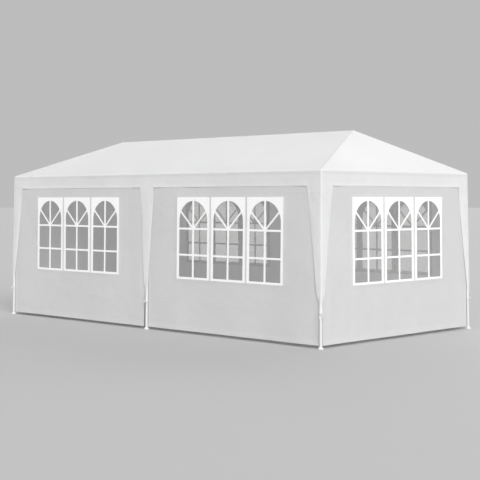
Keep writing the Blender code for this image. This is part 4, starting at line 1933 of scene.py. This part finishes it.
@dataclass
class DoorWall(SideWall):
    """The end wall with a zipped door, which rolls up.

    Attributes:
        seam_gap: between the door's cloth and the wall's.
        tape_end: from the wall's lower edge to the end of a zip's tape.
        coil_skin, coil_ends: thickness of a coil's shell, and from its ends to those of the doorway.
        tooth_pitch, tooth_relief: between a coil's teeth, and their height as a share of the coil's.
        slider_height: of the slider above the ground, with the door shut.
        slider_boxes: middle and size of the slider's body, bridge and pull, along u, v and outwards.
        slider_smooth: angle under which their faces flow into each other, in degrees.
        tie_places, tie_rise: of the roll ties from the door's middle, and above the doorway's head.
        tie_step: longest step of their mesh.
        tie_sway, tie_gap, tie_lift: how far they stray, their gap to the wall, and how much it opens.
    """

    door_width: float = 1.20
    door_top: float = 1.78
    seam_gap: float = 0.0006
    tape_width: float = 0.026
    tape_thickness: float = 0.0005
    tape_end: float = 0.004
    coil_width: float = 0.006
    coil_height: float = 0.0016
    coil_skin: float = 0.0001
    coil_ends: tuple[float, float] = (0.02, 0.01)
    tooth_pitch: float = 0.004
    tooth_relief: float = 0.28
    slider_height: float = 0.075
    slider_boxes: tuple = (((0.0, 0.0, 0.0015), (0.009, 0.012, 0.003)),
                           ((0.0, 0.003, 0.0038), (0.004, 0.008, 0.0016)),
                           ((0.0, -0.018, 0.0050), (0.007, 0.034, 0.0012)))
    slider_bevel: float = 0.0004
    slider_smooth: float = 50.0
    tie_places: tuple[float, ...] = (-0.33, 0.33)
    tie_rise: float = 0.055
    tie_length: float = 0.24
    tie_width: float = 0.020
    tie_thickness: float = 0.0008
    tie_step: float = 0.02
    tie_sway: float = 0.012
    tie_gap: float = 0.001
    tie_lift: float = 0.004

    @property
    def lintel(self) -> float:
        """Place of the doorway's head along v."""
        return self.place_up(self.door_top)

    @property
    def cuts(self) -> list[tuple[float, float]]:
        """Left and right edges of the doorway."""
        return [(-self.door_width / 2, self.door_width / 2)]

    @property
    def cut_rows(self) -> tuple[float, float]:
        """Places of the wall's bottom and the doorway's head along v."""
        return self.bottom, self.lintel

    @property
    def cut_area(self) -> float:
        """Area of the doorway."""
        return self.door_width * (self.lintel - self.bottom)

    def make_door(self) -> None:
        """Make the door's cloth, which fills the doorway, in place of its node."""
        half, top = self.door_width / 2 - self.seam_gap, self.lintel - self.seam_gap
        columns = spaced([way * (half - step) for way in (-1, 1) for step in self.hem_steps], self.spacing)
        rows = spaced([top, top - self.hem] + [self.bottom + step for step in self.hem_steps], self.spacing)
        u, v = np.meshgrid(columns, rows[::-1])
        hem = np.minimum.reduce([half - np.abs(u), v - self.bottom, top - v])
        raised = self.relief * (hem <= self.hem + HAIR)
        cloth = ClothMesh()
        cloth.add_patch(self.point(u, v, self.depth - raised), flat_map(u, v),
                        np.where(hem < 2 * self.hem, hem, NO_HEM))
        piece = settle(cloth.mesh("door_sheet", self.thickness), self.finishes.wall,
                       ["door_flap"])
        top - self.bottom

    def make_zips(self) -> None:
        """Make a zip down each jamb: its tape, its coil, its slider and its pull."""
        tape_depth = self.depth - self.relief - SKIN_GAP - self.tape_thickness
        tape_rows = spaced([self.lintel, self.bottom + self.tape_end], self.spacing)[::-1]
        teeth = np.arange(self.bottom + self.coil_ends[0], self.lintel - self.coil_ends[1],
                          self.tooth_pitch / 2)[::-1]
        stand = 1.0 - self.tooth_relief * (1 - np.arange(len(teeth)) % 2)[:, None]
        rounding = np.array([0.0, 0.75, 1.0, 0.75, 0.0])
        for name, way in (("left", -1.0), ("right", 1.0)):
            middle = way * self.door_width / 2
            u, v = np.meshgrid(middle + np.array([-0.5, 0.0, 0.5]) * self.tape_width, tape_rows)
            tape = ClothMesh()
            tape.add_patch(self.point(u, v, tape_depth), flat_map(u, v))
            settle(tape.mesh(f"zip_tape_{name}", self.tape_thickness), self.finishes.strap)
            u, v = np.meshgrid(middle + np.array([-0.5, -0.4, 0.0, 0.4, 0.5]) * self.coil_width, teeth)
            coil = ClothMesh()
            coil.add_patch(self.point(u, v, tape_depth - SKIN_GAP - self.coil_height * stand * rounding),
                           flat_map(u, v))
            settle(coil.mesh(f"zip_coil_{name}", self.coil_skin), self.finishes.zip)
            self._make_slider(name, middle, tape_depth - self.coil_height - SEAT_GAP)

    def _make_slider(self, name: str, middle: float, depth: float) -> None:
        """Make a zip's slider with its pull.

        Args:
            name: of the zip.
            middle: place along the eave.
            depth: of the slider's back.
        """
        v = self.place_up(self.slider_height)
        out = float(self.lift(middle, v)) - depth
        mesh = bpy.data.meshes.new(f"zip_slider_{name}")
        with edited(mesh) as shape:
            for centre, extent in self.slider_boxes:
                corners = bmesh.ops.create_cube(shape, size=1.0)["verts"]
                bmesh.ops.scale(shape, vec=extent, verts=corners)
                bmesh.ops.translate(shape, vec=centre, verts=corners)
            bmesh.ops.bevel(shape, geom=shape.edges[:], offset=self.slider_bevel, segments=2, affect="EDGES")
            bmesh.ops.transform(shape, matrix=self.face.matrix @ Matrix.Translation((middle, v, out)),
                                verts=shape.verts)
        smooth(mesh, self.slider_smooth)
        settle(mesh, self.finishes.zip)

    def make_roll_ties(self) -> None:
        """Make the ties over the doorway that hold the rolled-up door, as one piece."""
        cloth = ClothMesh()
        top = self.lintel + self.tie_rise
        v = spaced([top, top - self.tie_length], self.tie_step)[::-1, None]
        drop = top - v
        loose = self.tie_lift * smoothstep(0.03, 0.10, drop) * (1.0 + 0.3 * np.sin(drop * 30.0))
        off = self.relief + self.tie_gap + self.tie_thickness + loose
        for centre in self.tie_places:
            sway = self.tie_sway * np.sin(drop * 11.0 + centre * 5.0) * smoothstep(0.03, 0.12, drop)
            u = centre + np.array([-0.5, 0.0, 0.5]) * self.tie_width + sway
            cloth.add_patch(self.point(u, v, self.depth - off), flat_map(u, v))
        settle(cloth.mesh("door_roll_ties", self.tie_thickness), self.finishes.tie)

    def make(self) -> None:
        """Make the wall, its straps, its door and what is on them."""
        super().make()
        self.make_door()
        self.make_zips()
        self.make_roll_ties()


# The ties round the legs


@dataclass
class LegTie:
    """A tie that gathers a leg flap's end round its leg: a band, a knot, two loops and two ends.

    Attributes:
        side, along: whose face the tie is measured on, and the leg's place, 0 in its middle and 1 at its
            right corner.
        flap_end, rise: height of the flap's end above the ground, and of the tie above it.
        facing: direction in which the knot points, in degrees from the side's outward one.
        band_thickness, band_slant: of all its ribbons, and how far the band climbs beside the leg.
        clearance: between the leg's cloth and the band.
        ear_start, ear_opening: where a loop leaves the knot, and half the height to which it opens.
        ear_lean: how far a loop leans outwards and down, as shares of its length.
        tail_start: where a loose end leaves the knot, across and down.
        tail_spread, tail_arch: how far it strays to its side and bows outwards.
        knot, knot_pinch: half its size across, outwards and up, and how much its middle is pinched.
        knot_stand: how far its middle stands off the band, as a share of its half size outwards.
        band_steps, ear_steps, tail_steps: steps of the mesh along each ribbon.
    """

    sizes: TentSizes
    finishes: Finishes
    side: Side
    along: int
    flap_end: float
    facing: float
    label: str
    rise: float = 0.022
    band_width: float = 0.012
    band_thickness: float = 0.0008
    band_slant: float = 0.002
    clearance: float = 0.0016
    ear_width: float = 0.0096
    ear_length: float = 0.03116
    ear_start: float = 0.004
    ear_opening: float = 0.010
    ear_lean: tuple[float, float] = (0.2, 0.35)
    tail_width: float = 0.0084
    tail_length: float = 0.056
    tail_start: tuple[float, float] = (0.003, 0.004)
    tail_spread: float = 0.016
    tail_arch: float = 0.006
    knot: tuple[float, float, float] = (0.011, 0.009, 0.008)
    knot_pinch: float = 0.22
    knot_stand: float = 0.7
    band_steps: int = 48
    ear_steps: int = 16
    tail_steps: int = 8

    @property
    def frame(self) -> Matrix:
        """Frame of the tie.

        Returns:
            The frame, with its origin on the leg's axis, Z up and -Y at the knot.
        """
        face, depth = Face(self.sizes, self.side), self.sizes.tube_depth
        v = face.height_to_v(self.flap_end + self.rise, depth)
        origin = face.world(self.along * face.corner_u(depth, v), v, depth)
        turn = Matrix.Rotation(self.side.turn + math.radians(self.facing), 4, "Z")
        return Matrix.Translation(origin) @ turn

    def _add_ribbon(self, cloth: ClothMesh, path: Grid, across: Grid, width: float) -> None:
        """Add a ribbon along a path.

        Args:
            cloth: mesh that the ribbon is added to.
            path: points along the ribbon's middle, in the tie's frame.
            across: direction over its width at each point, of any length.
            width: of the ribbon.
        """
        matrix = np.array(self.frame)
        across = across / np.linalg.norm(across, axis=1, keepdims=True)
        half = np.array([-0.5, 0.0, 0.5]) * width
        local = path[:, None] + across[:, None] * half[:, None]
        cloth.add_patch(local @ matrix[:3, :3].T + matrix[:3, 3],
                        flat_map(half, lengths_along(path)[:, None]))

    def _ear(self, way: float, reach: float) -> tuple[Grid, Grid]:
        """Bend one loop of the bow.

        Args:
            way: -1 to the left, 1 to the right.
            reach: of the knot's middle from the leg's axis.

        Returns:
            The points along its middle and the directions over its width.
        """
        turns = np.linspace(0.0, 2 * math.pi, self.ear_steps + 1)
        out = self.ear_length * (1.0 - np.cos(turns)) / 2 + self.ear_start
        lean_out, lean_down = self.ear_lean
        path = np.stack([way * out, -reach - lean_out * out,
                         self.ear_opening * np.sin(turns) - lean_down * out], axis=-1)
        return path[::int(way)], np.tile((0.0, 1.0, 0.25), (len(path), 1))

    def _tail(self, way: float, reach: float) -> tuple[Grid, Grid]:
        """Hang one loose end.

        Args:
            way: -1 to the left, 1 to the right.
            reach: of the knot's middle from the leg's axis.

        Returns:
            The points along its middle, from its end up, and the directions over its width.
        """
        share = np.linspace(1.0, 0.0, self.tail_steps + 1)
        beside, below = self.tail_start
        path = np.stack([way * (beside + self.tail_spread * np.sin(share * 1.9)),
                         -reach - self.tail_arch * np.sin(share * math.pi),
                         -below - self.tail_length * share], axis=-1)
        return path, np.stack([np.cos(share), -0.35 * way * np.sin(share * 3.0), 0.0 * share], axis=-1)

    def _add_knot(self, mesh: Mesh, reach: float) -> None:
        """Add the knot to the tie's mesh.

        Args:
            mesh: of the tie.
            reach: of the knot's middle from the leg's axis.
        """
        with edited(mesh) as shape:
            ball = bmesh.ops.create_uvsphere(shape, u_segments=18, v_segments=12, radius=1.0)["verts"]
            for vertex in ball:
                pinch = 1.0 - self.knot_pinch * math.exp(-((vertex.co.x * 2.6) ** 2))
                width, depth, height = self.knot
                vertex.co = (vertex.co.x * width, vertex.co.y * depth * pinch, vertex.co.z * height * pinch)
                for face in vertex.link_faces:
                    face.smooth = True
            place = self.frame @ Matrix.Translation((0.0, -reach, 0.0))
            bmesh.ops.transform(shape, matrix=place, verts=ball)

    def make(self) -> None:
        """Make the tie, as one piece."""
        radius = self.sizes.tube_depth + self.clearance + self.band_thickness
        angles = np.linspace(math.pi, -math.pi, self.band_steps + 1)
        across, out = np.sin(angles), np.cos(angles)
        band = np.stack([radius * across, -radius * out, self.band_slant * across], axis=-1)
        cloth = ClothMesh()
        self._add_ribbon(cloth, band, np.tile((0.0, 0.0, 1.0), (len(band), 1)), self.band_width)
        reach = radius + self.knot_stand * self.knot[1]
        for way in (-1.0, 1.0):
            self._add_ribbon(cloth, *self._ear(way, reach), self.ear_width)
            self._add_ribbon(cloth, *self._tail(way, reach), self.tail_width)
        mesh = cloth.mesh(f"leg_tie_{self.label}", self.band_thickness)
        self._add_knot(mesh, reach)
        settle(mesh, self.finishes.tie)


def make_leg_ties(cover: Cover) -> None:
    """Make the six ties at the ends of the leg flaps.

    Args:
        cover: whose flaps they gather.
    """
    parts = cover.sizes, cover.finishes
    for side in Side:
        if side.is_long:
            LegTie(*parts, side, 0, cover.middle_flap_height, 0.0, f"{side.word}_middle").make()
        LegTie(*parts, side, 1, cover.corner_flap_height, 45.0, side.corner_word).make()


# The frame's own pieces


@dataclass
class CoatedFrame:
    """The tubes, legs and connectors, with smooth coated skins over their nodes' shapes.

    Attributes:
        nodes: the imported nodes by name.
        smooth_angle, flat_angle: under which faces flow into each other, and are one, in degrees.
        weld: distance under which points are one.
        tube_words, connector_words: that the names of tubes and connectors start with.
    """

    finishes: Finishes
    nodes: dict
    bevel: float = 0.0006
    smooth_angle: float = 33.0
    flat_angle: float = 0.5
    weld: float = 0.00002
    tube_words: tuple[str, ...] = ("leg_", "eave_tube_", "hip_rafter_", "rafter_", "ridge_tube_")
    connector_words: tuple[str, ...] = ("corner_connector_", "eave_connector_", "connector_")

    def _dress(self, name: str, material: Material) -> None:
        """Make a smooth coated piece with the shape of a node, in its place.

        Args:
            name: of the node.
            material: of the piece.
        """
        mesh = bpy.data.meshes.new(f"{name}_coated")
        with edited(mesh, self.nodes[name].data) as shape:
            bmesh.ops.remove_doubles(shape, verts=shape.verts, dist=self.weld)
            bmesh.ops.dissolve_limit(shape, angle_limit=math.radians(self.flat_angle), verts=shape.verts,
                                     edges=shape.edges)
        for key in ("custom_normal", "sharp_face", "sharp_edge"):
            if key in mesh.attributes:
                mesh.attributes.remove(mesh.attributes[key])
        mesh.materials.clear()
        smooth(mesh, self.smooth_angle)
        edge = settle(mesh, material, [name]).modifiers.new("soft_edges", "BEVEL")
        edge.width = self.bevel
        edge.segments = 2
        edge.limit_method = "ANGLE"
        edge.angle_limit = math.radians(self.smooth_angle)

    def make(self) -> None:
        """Dress every tube and connector."""
        for name in sorted(self.nodes):
            if name.startswith(self.tube_words):
                self._dress(name, self.finishes.tube)
            elif name.startswith(self.connector_words):
                self._dress(name, self.finishes.connector)


# The studio


@dataclass
class Studio:
    """Pale floor, soft light and the camera at the photograph's viewing angle.

    Attributes:
        floor_drop: how far the floor lies below the ground.
        air: brightness of the light from all around, in linear light.
        key_direction, key_spread: towards the main light, and its angle in degrees.
        fill_direction, fill_spread: the same of the weak light behind the tent.
        camera_turn, camera_dip: to the left of the view along +Y and below level, in degrees.
        lens, sensor: in millimetres.
    """

    floor_size: float = 400.0
    floor_drop: float = 0.0005
    air: Colour = (0.506, 0.506, 0.506)
    key_direction: tuple[float, float, float] = (0.69, -0.505, 0.50)
    key_strength: float = 3.4
    key_spread: float = 40.0
    fill_direction: tuple[float, float, float] = (-0.30, 0.88, 0.30)
    fill_strength: float = 1.0
    fill_spread: float = 60.0
    camera_place: tuple[float, float, float] = (11.682, -11.770, 1.715)
    camera_turn: float = 44.155
    camera_dip: float = 1.970
    lens: float = 88.0
    sensor: float = 36.0

    def make(self) -> None:
        """Make the studio and set the camera."""
        scene, half = bpy.context.scene, self.floor_size / 2
        paper = bpy.data.meshes.new("studio_floor")
        paper.from_pydata([(x * half, y * half, -self.floor_drop)
                           for x, y in ((-1, -1), (1, -1), (1, 1), (-1, 1))], [], [(0, 1, 2, 3)])
        add_piece(paper, StudioPaper().material())
        scene.world = bpy.data.worlds.new("studio_air")
        scene.world.use_nodes = True
        glow = scene.world.node_tree.nodes["Background"].inputs
        glow["Color"].default_value = (*self.air, 1.0)
        glow["Strength"].default_value = 1.0
        self._sun("key_light", self.key_direction, self.key_strength, self.key_spread)
        self._sun("fill_light", self.fill_direction, self.fill_strength, self.fill_spread)
        data = bpy.data.cameras.new("view")
        data.lens = self.lens
        data.sensor_width = self.sensor
        data.clip_end = 1000.0
        scene.camera = bpy.data.objects.new("view", data)
        scene.camera.location = self.camera_place
        scene.camera.rotation_euler = (math.radians(90.0 - self.camera_dip), 0.0,
                                       math.radians(self.camera_turn))
        scene.collection.objects.link(scene.camera)
        scene.view_settings.view_transform = "Standard"
        LOG.info("set the studio")

    @staticmethod
    def _sun(name: str, direction: tuple[float, float, float], strength: float, spread: float) -> None:
        """Add a broad distant light.

        Args:
            name: of the light.
            direction: towards the light.
            strength: of the light.
            spread: angle that it fills, in degrees.
        """
        data = bpy.data.lights.new(name, "SUN")
        data.energy = strength
        data.angle = math.radians(spread)
        lamp = bpy.data.objects.new(name, data)
        lamp.rotation_mode = "QUATERNION"
        lamp.rotation_quaternion = Vector(direction).to_track_quat("Z", "Y")
        lamp.location = Vector(direction) * 20.0
        bpy.context.scene.collection.objects.link(lamp)


def main() -> None:
    """Build the tent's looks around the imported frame."""
    logging.basicConfig(level=logging.INFO, format="%(message)s")
    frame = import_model()
    sizes = TentSizes()
    sizes.check()
    finishes = Finishes.make()
    cover = Cover(sizes, finishes)
    cover.make()
    for side in (Side.FRONT, Side.BACK):
        WindowWall(sizes, finishes, side, Bay.LEFT, draw_back=(0.010, 0.022)).make()
        WindowWall(sizes, finishes, side, Bay.RIGHT, draw_back=(0.005, 0.001)).make()
    WindowWall(sizes, finishes, Side.RIGHT, Bay.WHOLE, draw_back=(0.003, 0.010)).make()
    DoorWall(sizes, finishes, Side.LEFT, Bay.WHOLE, draw_back=(0.014, 0.014)).make()
    make_leg_ties(cover)
    CoatedFrame(finishes, frame["nodes"]).make()
    Studio().make()


if __name__ == "__main__":
    main()
